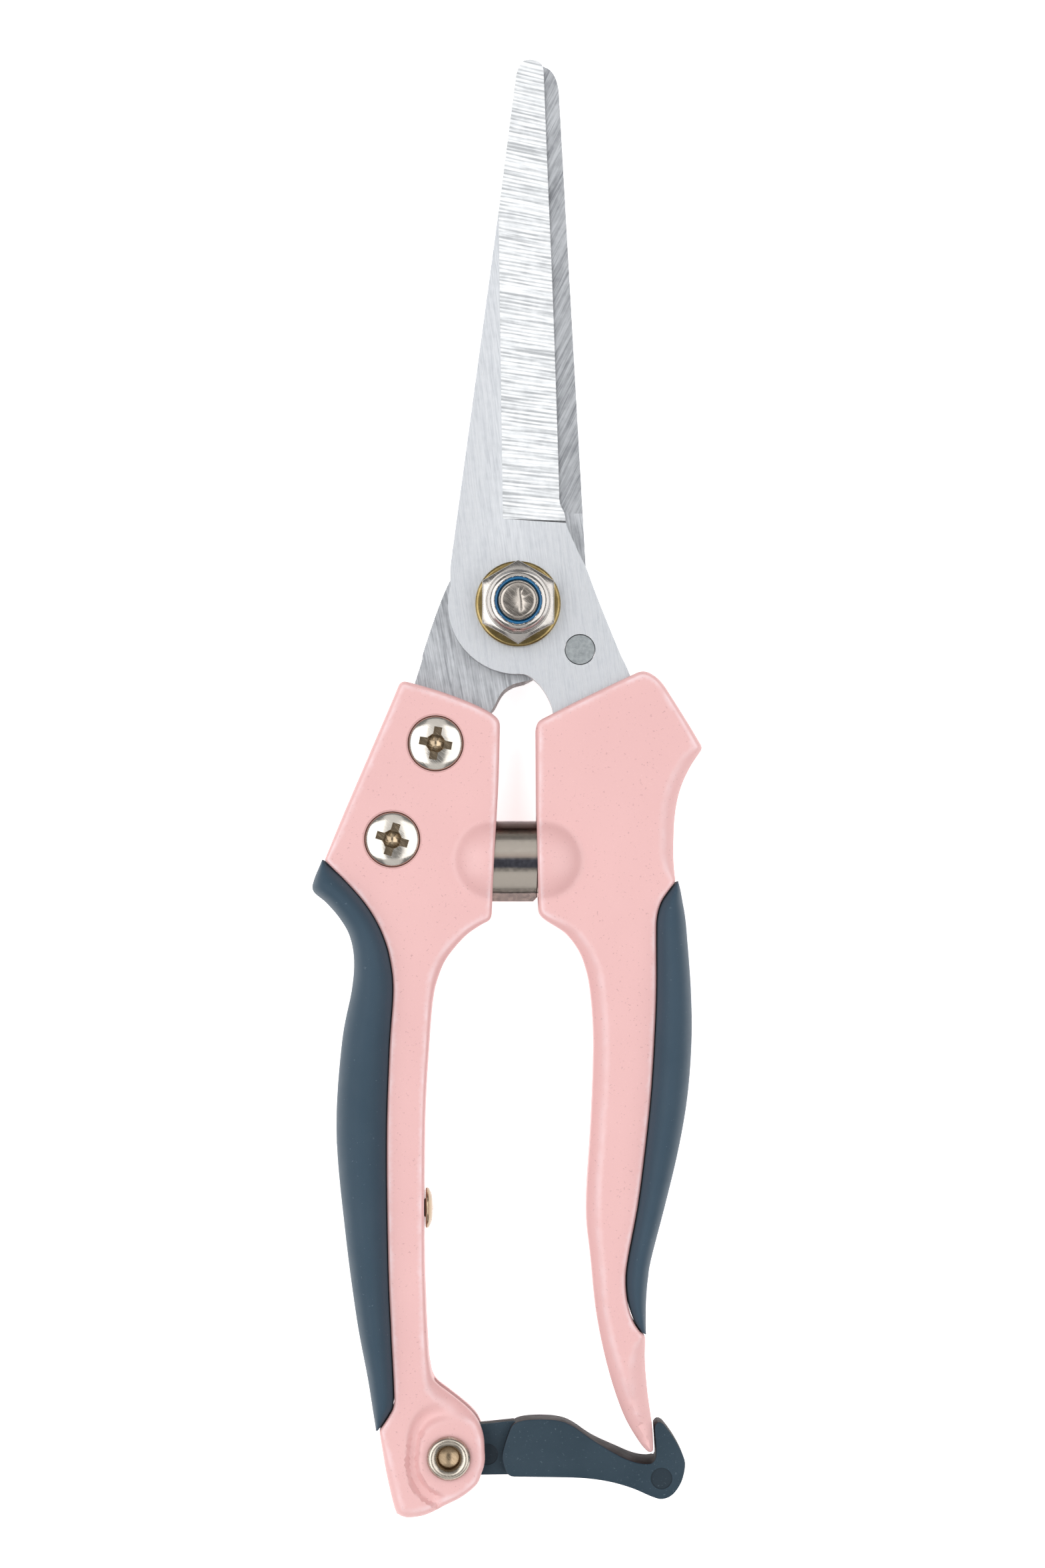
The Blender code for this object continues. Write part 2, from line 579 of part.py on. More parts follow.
def catch_lever(parent):
    """A thin eye between the cheeks, and a thicker arm that ends in a hook."""
    arm = [(-0.9, -114.5), (0.8, -114.0), (5.7, -114.2), (7.6, -114.9), (10.4, -117.0), (12.9, -118.6),
           (15.1, -119.7), (17.2, -120.2), (19.0, -120.0), (19.45, -119.2), (19.3, -116.5), (19.2, -114.9),
           (19.6, -114.3), (20.4, -114.7), (21.9, -116.8), (23.1, -119.1), (23.35, -120.6), (22.8, -122.8),
           (21.6, -124.5), (20.2, -125.1), (18.8, -124.8), (16.0, -123.6), (12.9, -122.7), (9.5, -122.2),
           (5.7, -122.05), (-1.4, -121.95), (-2.0, -121.4), (-2.2, -119.4), (-1.7, -117.0)]
    lever = plate("catch_lever", shifted(arm[::-1], -CATCH_X, -CATCH_Y), MID_Z - HOOK_HALF, MID_Z + HOOK_HALF,
                  slate_rubber("catch_lever"), parent)
    eye = arc((0, 0), EYE_RADIUS, 70, 222, 12)
    tail = [(10.5, -2.6), (10.5, 4.0), (9.0, 4.7)]
    shank = plate("catch_lever_shank", eye + tail, MID_Z - SHANK_HALF, MID_Z + SHANK_HALF)
    combine(lever, shank, "UNION")
    bore = rod("catch_lever_bore", (0, 0), RIVET_RADIUS + GAP, MID_Z - 5, MID_Z + 5, 20)
    combine(lever, bore, "DIFFERENCE")
    return lever


def empty(name, x, y):
    obj = bpy.data.objects.new(name, None)
    bpy.context.scene.collection.objects.link(obj)
    obj.location = (x * MM, y * MM, 0)
    return obj


def build():
    for obj in list(bpy.data.objects):
        bpy.data.objects.remove(obj)
    left = empty("left_half", PIVOT_X, PIVOT_Y)
    right = empty("right_half", PIVOT_X, PIVOT_Y)
    catch = empty("catch", PIVOT_X + CATCH_X, PIVOT_Y + CATCH_Y)

    front_low = MID_Z + GAP / 2
    rear_low = MID_Z - GAP / 2 - BLADE_THICKNESS
    blade("rear_blade", rear_blade_outline(), rear_low, -1, LEFT_SCREWS, left)
    front = blade("front_blade", front_blade_outline(), front_low, 1, RIGHT_SCREWS, right)
    stop_pin(front, front_low, right)

    pivot_bolt(left)
    washer("rear_washer", rear_low - GAP - WASHER_THICKNESS, left)
    washer("front_washer", front_low + BLADE_THICKNESS + GAP, left)
    pivot_nut(left)

    left_handle(left, rear_low)
    right_handle(right, front_low)
    grip("left_grip", LEFT_SEAM, LEFT_GRIP_EDGE, -1, left)
    grip("right_grip", RIGHT_SEAM, RIGHT_GRIP_EDGE, 1, right)
    for key, place in LEFT_SCREWS.items():
        handle_screw(f"left_{key}_screw", place, 1, SCREW_TURN[key], left)
    for key, place in RIGHT_SCREWS.items():
        handle_screw(f"right_{key}_screw", place, -1, SCREW_TURN[key], right)
    volute_spring(left)
    catch_rivet(left)
    catch_rest_stud(left)
    catch_lever(catch)


build()
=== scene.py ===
"""Looks for the floral snips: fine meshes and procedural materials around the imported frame.

Outlines are in millimetres from the blade pivot, x across and y towards the tips; heights are
from the plane between the blades. settle() turns them into metres in the row's frame.
"""
import json
import math

import bmesh
import bpy
import numpy as np
from mathutils import Matrix, Vector, geometry


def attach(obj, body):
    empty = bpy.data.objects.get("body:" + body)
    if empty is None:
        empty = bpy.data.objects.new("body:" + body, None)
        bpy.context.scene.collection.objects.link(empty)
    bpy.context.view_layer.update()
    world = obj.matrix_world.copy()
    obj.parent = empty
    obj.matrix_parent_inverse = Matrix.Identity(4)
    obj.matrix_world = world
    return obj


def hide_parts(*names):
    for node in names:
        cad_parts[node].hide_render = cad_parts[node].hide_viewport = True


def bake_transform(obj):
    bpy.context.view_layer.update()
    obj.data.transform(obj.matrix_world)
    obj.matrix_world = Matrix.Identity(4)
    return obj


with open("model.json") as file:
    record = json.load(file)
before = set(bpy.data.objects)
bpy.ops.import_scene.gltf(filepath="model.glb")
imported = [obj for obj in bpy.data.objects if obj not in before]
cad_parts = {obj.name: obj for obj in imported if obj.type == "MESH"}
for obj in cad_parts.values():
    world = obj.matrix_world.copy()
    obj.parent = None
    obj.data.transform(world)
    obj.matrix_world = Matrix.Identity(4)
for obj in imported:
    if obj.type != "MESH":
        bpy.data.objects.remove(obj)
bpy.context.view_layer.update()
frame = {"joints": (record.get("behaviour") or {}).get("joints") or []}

MM = 0.001
JOINTS = {joint["name"]: joint for joint in frame["joints"]}
PIVOT = Vector(JOINTS["blade_pivot"]["pos_m"])
CATCH = (Vector(JOINTS["catch_pivot"]["pos_m"]) - PIVOT) / MM
TO_FRAME = Matrix.Translation(PIVOT) @ Matrix.Scale(MM, 4)

BLADE = 2.5                  # blade thickness
BLADE_GAP = 0.3              # between the two blades
HALF_HANDLE = 4.8
GRIP_HALF = 7.15
SPRING_Y = -35.9
STUD_Y = -84.6
STOP_PIN = (8.7, -6.35)
LEFT_SCREWS = [(-11.5, -19.6), (-17.55, -33.0)]      # upper, lower
RIGHT_SCREWS = [(11.0, -19.4), (14.4, -32.2)]
SCREW_HOLE = 2.15            # radius, in the blades' tangs
BOLT_HOLE = 3.2              # radius, in the blades
BULGE_RADIUS = 7.15
SHOULDER_Y = 13.0            # where the rear blade's grind starts
BULGE_X = 3.6
POCKET_RADIUS = 6.35
FLOOR_GAP = 0.0001           # metres, so that the bolt head's underside isn't in the floor's plane


# ---------- outlines ----------

def catmull_rom(a, b, c, d, t):
    """The point at share t of the way from b to c, on the curve through all four."""
    return 0.5 * (2 * b + (c - a) * t + (2 * a - 5 * b + 4 * c - d) * t * t
                  + (3 * b - a - 3 * c + d) * t ** 3)


def spline(points, step):
    """A Catmull-Rom curve through points of any dimension, sampled about every step."""
    points = [np.array(p, float) for p in points]
    if len(points) == 2:
        count = max(1, round(np.linalg.norm((points[1] - points[0])[:2]) / step))
        return [points[0] + (points[1] - points[0]) * i / count for i in range(count)]
    ends = [2 * points[0] - points[1], *points, 2 * points[-1] - points[-2]]
    result = []
    for a, b, c, d in zip(ends, ends[1:], ends[2:], ends[3:]):
        count = max(1, round(np.linalg.norm((c - b)[:2]) / step))
        result.extend(catmull_rom(a, b, c, d, i / count) for i in range(count))
    return result


def curve_at(points, where):
    """Catmull-Rom positions at fractional indices along a list of points."""
    points = [np.array(p, float) for p in points]
    ends = [2 * points[0] - points[1], *points, 2 * points[-1] - points[-2]]
    result = []
    for w in where:
        k = min(int(w), len(points) - 2)
        result.append(catmull_rom(*ends[k:k + 4], w - k))
    return result


def trimmed(rows, start, end):
    """The polyline without its first start and last end millimetres."""
    rows = np.array(rows)
    travel = np.concatenate([[0], np.cumsum(np.linalg.norm(np.diff(rows[:, :2], axis=0), axis=1))])
    limit = 0.45 * travel[-1]
    low, high = min(start, limit), travel[-1] - min(end, limit)
    ends = [np.array([np.interp(at, travel, column) for column in rows.T]) for at in (low, high)]
    middle = rows[(travel > low + 0.02) & (travel < high - 0.02)]
    return [ends[0], *middle, ends[1]]


def closed_outline(points, spacing=0.45):
    """A closed outline of rows (x, y, band width). A point given as (x, y, band, radius) is a
    corner rounded to that radius; the stretches between corners are smooth curves."""
    full = [(*p, 0.7) if len(p) == 2 else tuple(p) for p in points]
    first = next(i for i, p in enumerate(full) if len(p) == 4)
    full = full[first:] + full[:first]
    corners = [i for i, p in enumerate(full) if len(p) == 4]
    result = []
    for start, end in zip(corners, corners[1:] + [len(full)]):
        stretch = [p[:3] for p in full[start:end]] + [full[end % len(full)][:3]]
        radii = full[start][3], full[end % len(full)][3]
        rows = trimmed(spline(stretch, spacing) + [np.array(stretch[-1], float)], *radii)
        result.append((rows, stretch[-1], radii[1]))
    outline = []
    for k, (rows, corner, radius) in enumerate(result):
        outline.extend(rows)
        leave = result[(k + 1) % len(result)][0][0]
        steps = max(2, round(radius / 0.2))
        outline.extend((1 - t) ** 2 * rows[-1] + 2 * t * (1 - t) * np.array(corner) + t * t * leave
                       for t in (i / steps for i in range(1, steps)))
    return np.array(outline)


def arc(centre, radius, start, end, steps):
    """Points on a circle, between two bearings in degrees."""
    points = []
    for i in range(steps + 1):
        angle = math.radians(start + (end - start) * i / steps)
        points.append((centre[0] + radius * math.cos(angle), centre[1] + radius * math.sin(angle)))
    return points


# ---------- meshes ----------

def add(name, bm, body=None, replaces=(), slot=None, materials=(), smooth=30):
    """Makes the object; with a body, it is settled in the row's frame there and then."""
    bmesh.ops.recalc_face_normals(bm, faces=bm.faces)
    mesh = bpy.data.meshes.new(name)
    bm.to_mesh(mesh)
    bm.free()
    obj = bpy.data.objects.new(name, mesh)
    bpy.context.scene.collection.objects.link(obj)
    for entry in materials:
        mesh.materials.append(entry)
    if smooth:
        mesh.shade_smooth()
        mesh.set_sharp_from_angle(angle=math.radians(smooth))
    if body:
        settle(obj, body, replaces)
    return obj


def settle(obj, body, replaces=()):
    """Moves millimetres about the pivot into the row's frame, and rides the object there."""
    obj.data.transform(TO_FRAME)
    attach(obj, body)
    if replaces:
        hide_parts(*replaces)
    return obj


def apply_modifiers(obj):
    graph = bpy.context.evaluated_depsgraph_get()
    mesh = bpy.data.meshes.new_from_object(obj.evaluated_get(graph))
    obj.modifiers.clear()
    obj.data = mesh
    return obj


def cut(obj, tools, operation="DIFFERENCE"):
    """Applies Booleans with throwaway tools, one after another."""
    for tool in tools:
        modifier = obj.modifiers.new("cut", "BOOLEAN")
        modifier.operation = operation
        modifier.solver = "EXACT"
        modifier.object = tool
    apply_modifiers(obj)
    for tool in tools:
        bpy.data.objects.remove(tool)
    return obj


def bevel(obj, width, segments=2, angle=40):
    modifier = obj.modifiers.new("edge", "BEVEL")
    modifier.width = width
    modifier.segments = segments
    modifier.limit_method = "ANGLE"
    modifier.angle_limit = math.radians(angle)
    return apply_modifiers(obj)


def sharpen(obj, angle=30):
    obj.data.shade_smooth()
    obj.data.set_sharp_from_angle(angle=math.radians(angle))


def prism(name, outline, low, high, **placing):
    """An outline raised from one height to another."""
    bm = bmesh.new()
    base = bm.faces.new([bm.verts.new((p[0], p[1], low)) for p in outline])
    raised = bmesh.ops.extrude_face_region(bm, geom=[base])
    top = [v for v in raised["geom"] if isinstance(v, bmesh.types.BMVert)]
    bmesh.ops.translate(bm, verts=top, vec=(0, 0, high - low))
    return add(name, bm, **placing)


def turned_mesh(profile, sides):
    """A closed profile of (radius, height) points, spun about Z."""
    bm = bmesh.new()
    rings = []
    for radius, height in profile:
        if radius == 0:
            rings.append([bm.verts.new((0, 0, height))])
        else:
            rings.append([bm.verts.new((radius * math.cos(2 * math.pi * i / sides),
                                        radius * math.sin(2 * math.pi * i / sides), height))
                          for i in range(sides)])
    for one, two in zip(rings, rings[1:] + rings[:1]):
        for i in range(sides):
            j = (i + 1) % sides
            if len(one) > 1 and len(two) > 1:
                bm.faces.new((one[i], one[j], two[j], two[i]))
            elif len(one) > 1:
                bm.faces.new((one[i], one[j], two[0]))
            elif len(two) > 1:
                bm.faces.new((one[0], two[j], two[i]))
    return bm


def turned(name, profile, place=(0, 0, 0), sides=72, turn=None, **placing):
    bm = turned_mesh(profile, sides)
    if turn:
        bm.transform(turn)
    bmesh.ops.translate(bm, verts=bm.verts, vec=place)
    return add(name, bm, **placing)


def rod(name, place, radius, low, high, sides=56):
    return turned(name, [(0, low), (radius, low), (radius, high), (0, high)], (*place, 0), sides)


def rounded(profile, radius, steps=4):
    """Rounds the corners of a turned profile, except those on its axis."""
    result = []
    for i, point in enumerate(profile):
        here = Vector(point)
        before = Vector(profile[i - 1])
        after = Vector(profile[(i + 1) % len(profile)])
        if here.x == 0:
            result.append(tuple(here))
            continue
        r = min(radius, (here - before).length * 0.45, (after - here).length * 0.45)
        enter = here + (before - here).normalized() * r
        leave = here + (after - here).normalized() * r
        for k in range(steps + 1):
            t = k / steps
            result.append(tuple((1 - t) ** 2 * enter + 2 * t * (1 - t) * here + t * t * leave))
    return result


ALONG_X = Matrix.Rotation(math.radians(90), 4, "Y")


# ---------- castings: a height field over an outline, mirrored about the middle plane ----------

def distance_to(points, outline):
    """For each point, the distance to the outline and the band width there."""
    a = outline[:, :2]
    b = np.roll(a, -1, axis=0)
    span = b - a
    length2 = np.maximum((span ** 2).sum(1), 1e-12)
    best = np.full(len(points), 1e9)
    band = np.zeros(len(points))
    widths = outline[:, 2]
    next_widths = np.roll(widths, -1)
    for start in range(0, len(points), 2000):
        chunk = points[start:start + 2000]
        offset = chunk[:, None, :] - a[None]
        t = np.clip((offset * span[None]).sum(2) / length2, 0, 1)
        gap = np.linalg.norm(offset - t[..., None] * span[None], axis=2)
        nearest = gap.argmin(1)
        rows = np.arange(len(chunk))
        best[start:start + 2000] = gap[rows, nearest]
        along = t[rows, nearest]
        band[start:start + 2000] = widths[nearest] * (1 - along) + next_widths[nearest] * along
    return best, band


def inside(points, outline):
    x, y = points[:, 0], points[:, 1]
    result = np.zeros(len(points), bool)
    a = outline[:, :2]
    b = np.roll(a, -1, axis=0)
    for (ax, ay), (bx, by) in zip(a, b):
        crosses = (ay > y) != (by > y)
        at = ax + (y - ay) * (bx - ax) / (by - ay if by != ay else 1e-12)
        result ^= crosses & (x < at)
    return result


def edge_drop(distance, band):
    """How far the surface falls towards its rim: a round on narrow bands, a soft bevel on wide ones."""
    u = np.clip(1 - distance / band, 0, 1)
    quarter = 1 - np.sqrt(np.clip(1 - u * u, 0, 1))
    soft_bevel = 0.86 * u ** 1.12 + 0.14 * u ** 8
    wide = np.clip((band - 1.0) / 0.5, 0, 1)
    depth = band * (1 - 0.15 * wide)
    return depth * (quarter * (1 - wide) + soft_bevel * wide)


def casting(name, outline, height, grid=0.6):
    """The closed body whose upper and lower faces follow height(x, y), with its edges dropped."""
    normals = np.roll(outline[:, :2], -1, axis=0) - np.roll(outline[:, :2], 1, axis=0)
    normals = np.stack([-normals[:, 1], normals[:, 0]], 1)
    normals /= np.linalg.norm(normals, axis=1)[:, None]
    inner = []
    for share in (0.04, 0.14, 0.3, 0.5, 0.75, 1.0):
        reach = outline[:, 2:3] * share
        ring = outline[:, :2] + normals * reach
        distance, _ = distance_to(ring, outline)
        good = (distance > reach[:, 0] * 0.97 - 0.004) & inside(ring, outline)
        inner.append(ring[good])
    low, high = outline[:, :2].min(0), outline[:, :2].max(0)
    columns = np.arange(low[0], high[0], grid)
    lines = np.arange(low[1], high[1], grid * 0.866)
    mesh_points = np.array([(x + (grid / 2 if k % 2 else 0), y)
                            for k, y in enumerate(lines) for x in columns])
    mesh_points = mesh_points[inside(mesh_points, outline)]
    distance, band = distance_to(mesh_points, outline)
    inner.append(mesh_points[distance > band + grid * 0.45])
    inner = np.concatenate(inner)
    count = len(outline)
    flat = [Vector(p) for p in np.concatenate([outline[:, :2], inner])]
    edges = [(i, (i + 1) % count) for i in range(count)]
    verts, _, faces, _, _, _ = geometry.delaunay_2d_cdt(flat, edges, [], 1, 1e-5)
    points = np.array([tuple(v) for v in verts])
    distance, band = distance_to(points, outline)
    z = height(points[:, 0], points[:, 1]) - edge_drop(distance, band)

    bm = bmesh.new()
    upper = [bm.verts.new((p[0], p[1], h)) for p, h in zip(points, z)]
    lower = [bm.verts.new((p[0], p[1], -h)) for p, h in zip(points, z)]
    for face in faces:
        if len(face) < 3:
            continue
        bm.faces.new([upper[i] for i in face])
        bm.faces.new([lower[i] for i in reversed(face)])
    rim = [e for e in bm.edges if len(e.link_faces) == 1]
    pair = dict(zip(upper, lower))
    for e in rim:
        a, b = e.verts
        if a in pair and b in pair:
            bm.faces.new((a, b, pair[b], pair[a]))
    loose = [v for v in bm.verts if not v.link_faces]
    bmesh.ops.delete(bm, geom=loose, context="VERTS")
    # each point's share of the pale edge line: rubbed paint plus a painted highlight where the flat meets
    # the edge's round
    wear_and_highlight_layer = bm.verts.layers.float.new("edge_wear_and_highlight")
    spots = np.array([v.co[:2] for v in bm.verts])
    distance, band = distance_to(spots, outline)
    for v, d, width in zip(bm.verts, distance, band):
        v[wear_and_highlight_layer] = math.exp(-((d / width - 0.85) / 0.2) ** 2) * min(1.0, 0.8 / width)
    return add(name, bm)


def smooth_max(a, b, blend):
    h = np.clip(blend - np.abs(a - b), 0, None) / blend
    return np.maximum(a, b) + h * h * blend / 4


def step(low, high, value):
    t = np.clip((value - low) / (high - low), 0, 1)
    return t * t * (3 - 2 * t)


def bulge_height(x, y, side):
    """The round spring seat that rises from the handle's face."""
    away = (x - side * BULGE_X) ** 2 + (y - SPRING_Y) ** 2
    ball = np.sqrt(np.clip(BULGE_RADIUS ** 2 - away, 0, None))
    return smooth_max(np.full_like(x, HALF_HANDLE), ball, 0.5)


# ---------- materials ----------

SOCKETS = {"coat_weight": "Coat Weight", "coat_roughness": "Coat Roughness",
           "sheen_weight": "Sheen Weight", "sheen_roughness": "Sheen Roughness",
           "specular_ior_level": "Specular IOR Level", "emission_color": "Emission Color",
           "emission_strength": "Emission Strength"}


class Nodes:
    """A short way to wire a Principled material."""

    def __init__(self, name):
        self.material = bpy.data.materials.new(name)
        self.material.use_nodes = True
        self.tree = self.material.node_tree
        self.shader = self.tree.nodes["Principled BSDF"]
        self.coords = self.add("ShaderNodeTexCoord").outputs["Object"]

    def add(self, kind, **settings):
        node = self.tree.nodes.new(kind)
        for key, value in settings.items():
            setattr(node, key, value)
        return node

    def put(self, value, socket):
        if isinstance(value, bpy.types.NodeSocket):
            self.tree.links.new(value, socket)
        elif isinstance(value, (tuple, list)) and len(value) == 3 and socket.type == "RGBA":
            socket.default_value = (*value, 1)
        else:
            socket.default_value = value

    def mapped(self, scale=(1, 1, 1), turn=(0, 0, 0), centre=(0, 0, 0), start=None):
        node = self.add("ShaderNodeMapping")
        node.inputs["Location"].default_value = centre
        node.inputs["Rotation"].default_value = turn
        node.inputs["Scale"].default_value = scale
        self.put(start or self.coords, node.inputs["Vector"])
        return node.outputs["Vector"]

    def split(self, vector=None):
        """The X, Y and Z of a vector, or of the place on the object."""
        node = self.add("ShaderNodeSeparateXYZ")
        self.put(vector or self.coords, node.inputs[0])
        return node.outputs

    def noise(self, scale, detail=3.0, roughness=0.5, vector=None):
        node = self.add("ShaderNodeTexNoise")
        self.put(vector or self.coords, node.inputs["Vector"])
        node.inputs["Scale"].default_value = scale
        node.inputs["Detail"].default_value = detail
        node.inputs["Roughness"].default_value = roughness
        return node.outputs["Fac"]

    def ramp(self, value, *stops):
        """Colours or greys over positions: (position, colour) pairs."""
        node = self.add("ShaderNodeValToRGB")
        elements = node.color_ramp.elements
        while len(elements) < len(stops):
            elements.new(0.5)
        for element, (position, colour) in zip(elements, stops):
            element.position = position
            colour = (colour,) * 3 if isinstance(colour, (int, float)) else colour
            element.color = (*colour, 1)
        self.put(value, node.inputs["Fac"])
        return node.outputs["Color"]

    def mix(self, factor, a, b, blend="MIX"):
        node = self.add("ShaderNodeMix", data_type="RGBA", blend_type=blend)
        self.put(factor, node.inputs["Factor"])
        self.put(a, node.inputs[6])
        self.put(b, node.inputs[7])
        return node.outputs[2]

    def math(self, operation, a, b=0.0):
        node = self.add("ShaderNodeMath", operation=operation)
        self.put(a, node.inputs[0])
        self.put(b, node.inputs[1])
        return node.outputs[0]

    def attribute(self, name):
        return self.add("ShaderNodeAttribute", attribute_name=name).outputs["Fac"]

    def bump(self, height, distance, strength=1.0, normal=None):
        node = self.add("ShaderNodeBump")
        node.inputs["Distance"].default_value = distance
        node.inputs["Strength"].default_value = strength
        self.put(height, node.inputs["Height"])
        if normal:
            self.put(normal, node.inputs["Normal"])
        return node.outputs["Normal"]

    def finish(self, colour, roughness, metallic=0.0, normal=None, **constants):
        self.put(colour, self.shader.inputs["Base Color"])
        self.put(roughness, self.shader.inputs["Roughness"])
        self.shader.inputs["Metallic"].default_value = metallic
        if normal:
            self.put(normal, self.shader.inputs["Normal"])
        for key, value in constants.items():
            self.put(value, self.shader.inputs[SOCKETS[key]])
        return self.material


def powder_coat():
    """Satin pink paint: fine orange peel, sparse pale and dark specks, thin pale edge lines that are partly
    rubbed paint and partly a painted highlight.
    """
    n = Nodes("handle_powder_coat")
    cloud = n.ramp(n.noise(60, 4), (0.3, (0.640, 0.378, 0.372)), (0.7, (0.668, 0.400, 0.392)))
    dark = n.ramp(n.noise(3200, 2), (0.67, 0.0), (0.72, 1.0))
    pale = n.ramp(n.noise(3600, 2, vector=n.mapped(centre=(0.4, 0.2, 0.1))), (0.66, 0.0), (0.71, 1.0))
    colour = n.mix(n.math("MULTIPLY", dark, 0.4), cloud, (0.30, 0.15, 0.14))
    colour = n.mix(n.math("MULTIPLY", pale, 0.22), colour, (0.76, 0.52, 0.51))
    chips = n.ramp(n.noise(420, 4), (0.35, 0.25), (0.65, 1.0))
    # the pale edge lines, rubbed paint with a painted highlight, broken up by the chips
    wear_and_highlight = n.math("MULTIPLY", n.attribute("edge_wear_and_highlight"), n.math("MULTIPLY", chips, 0.6))
    colour = n.mix(wear_and_highlight, colour, (0.78, 0.70, 0.74))
    peel = n.bump(n.noise(900, 2), 0.00004, 0.5)
    peel = n.bump(n.noise(3800, 1), 0.00001, 0.5, peel)
    rough = n.ramp(n.noise(300, 3), (0.3, 0.40), (0.7, 0.48))
    return n.finish(colour, rough, normal=peel, coat_weight=0.12, coat_roughness=0.3)


def soft_grip():
    """Slate rubber with a velvet bloom and a fine moulded grain."""
    n = Nodes("grip_soft_rubber")
    colour = n.ramp(n.noise(45, 4), (0.3, (0.022, 0.047, 0.072)), (0.72, (0.029, 0.056, 0.084)))
    dust = n.ramp(n.noise(1900, 2), (0.70, 0.0), (0.76, 1.0))
    colour = n.mix(n.math("MULTIPLY", dust, 0.25), colour, (0.16, 0.21, 0.25))
    grain = n.bump(n.noise(5200, 2), 0.000012, 0.6)
    rough = n.ramp(n.noise(240, 3), (0.3, 0.60), (0.7, 0.70))
    return n.finish(colour, rough, normal=grain, sheen_weight=0.08, sheen_roughness=0.5,
                    specular_ior_level=0.3)


def catch_plastic(name, low, high, gloss=0.3):
    n = Nodes(name)
    colour = n.ramp(n.noise(120, 5), (0.3, low), (0.72, high))
    speck = n.ramp(n.noise(3000, 2), (0.66, 0.0), (0.74, 1.0))
    colour = n.mix(n.math("MULTIPLY", speck, 0.3), colour, (0.11, 0.15, 0.18))
    grain = n.bump(n.noise(4200, 3), 0.00002, 0.6)
    rough = n.ramp(n.noise(500, 3), (0.3, 0.46), (0.7, 0.58))
    return n.finish(colour, rough, normal=grain, specular_ior_level=gloss)


def ground_steel(name, turn, fine, pale, dark, lines=0.5, roughness=0.34, upper_turn=None, fan=0.0,
                 pitch=None):
    """Ground steel: streaks along a turn in degrees, in two widths, over a faint mottle. Above
    the shoulder of the grind they may run along another turn, and a fan, in radians per metre,
    leans them more and more towards the tip. A pitch in mm adds even rows to the broad ones."""
    n = Nodes(name)
    place = n.split()
    along_blade = n.math("SUBTRACT", place["Y"], PIVOT.y)
    fanned = n.add("ShaderNodeCombineXYZ")
    n.put(place["X"], fanned.inputs["X"])
    lean = n.math("MULTIPLY", n.math("MULTIPLY", along_blade, fan), place["X"])
    n.put(n.math("ADD", place["Y"], lean), fanned.inputs["Y"])
    n.put(place["Z"], fanned.inputs["Z"])
    streaks = []
    for angle in (turn, upper_turn):
        if angle is None:
            continue
        along = n.mapped(turn=(0, 0, -math.radians(angle)), start=fanned.outputs["Vector"])
        thin = n.noise(1.0, 3, 0.6, n.mapped((fine * 0.045, fine, fine * 0.03), start=along))
        broad = n.mapped((fine * 0.025, fine * 0.4, fine * 0.02), centre=(3, 7, 1), start=along)
        broad = n.noise(1.0, 2, 0.5, broad)
        if pitch is not None:
            wander = n.noise(1.0, 2, 0.5, n.mapped((70, 420, 70), start=along))
            phase = n.math("MULTIPLY", n.split(along)["Y"], 2 * math.pi / (pitch * MM))
            row = n.math("SINE", n.math("ADD", phase, n.math("MULTIPLY", wander, 9.0)))
            broad = n.math("ADD", broad, n.math("MULTIPLY", row, 0.13))
        streaks.append(n.math("ADD", n.math("MULTIPLY", thin, lines), n.math("MULTIPLY", broad, 1 - lines)))
    streak = streaks[0]
    above = n.math("GREATER_THAN", along_blade, SHOULDER_Y * MM)
    if upper_turn is not None:
        streak = n.mix(above, streaks[0], streaks[1])
    mottle = n.noise(900, 4)
    mixed = n.mix(0.16, streak, mottle)
    colour = n.ramp(mixed, (0.38, dark), (0.60, pale))
    # painted shade: above the shoulder the steel is darkened to 0.8
    if upper_turn is not None:
        colour = n.mix(above, colour, n.mix(1.0, colour, (0.80, 0.80, 0.80), "MULTIPLY"))
    rough = n.ramp(mixed, (0.35, roughness + 0.1), (0.65, roughness - 0.04))
    return n.finish(colour, rough, 1.0, n.bump(streak, 0.00001, 0.7))


def nickel(name, tint, roughness, painted_shade_under=None):
    """Nickel plate with fine scratches; browner nearer to the blades' plane than the given height, a painted
    shade in the recesses and under the heads' rims.
    """
    n = Nodes(name)
    cloud = n.ramp(n.noise(500, 4), (0.3, tuple(c * 0.86 for c in tint)), (0.7, tint))
    # painted shade: darker and browner below the given height, in the rivet's hollow and the screws' seats
    if painted_shade_under:
        height = n.math("ABSOLUTE", n.math("SUBTRACT", n.split()["Z"], PIVOT.z))
        low = n.math("LESS_THAN", height, painted_shade_under * MM)
        cloud = n.mix(low, cloud, n.mix(1.0, cloud, (0.64, 0.53, 0.40), "MULTIPLY"))
    scratch = n.noise(1.0, 2, 0.5, n.mapped((900, 9000, 900), start=n.mapped(turn=(0, 0, 0.7))))
    rough = n.ramp(scratch, (0.4, roughness), (0.7, roughness + 0.14))
    return n.finish(cloud, rough, 1.0, n.bump(scratch, 0.000004, 0.5))


def plain(name, low, high, scale, roughness, metallic=0.0):
    n = Nodes(name)
    colour = n.ramp(n.noise(scale, 4), (0.3, low), (0.7, high))
    normal = n.bump(n.noise(scale * 4, 3), 0.000008, 0.6)
    return n.finish(colour, roughness, metallic, normal)


# ---------- blades ----------

FRONT_TANG = [(3.1, -11.4), (4.0, -12.7), (4.6, -14.0), (4.9, -15.2), (5.8, -20.0), (11.6, -37.4, 0, 0.5),
              (17.4, -36.7, 0, 0.5), (18.2, -33.0), (18.2, -17.0), (15.6, -9.7), (14.4, -7.1)]
REAR_TANG = [(-13.3, -6.6), (-14.4, -10.6), (-22.3, -33.5, 0, 0.5), (-21.6, -36.3, 0, 0.5),
             (-13.8, -37.8, 0, 0.5), (-4.9, -17.5), (-3.9, -15.1), (-3.4, -14.3)]


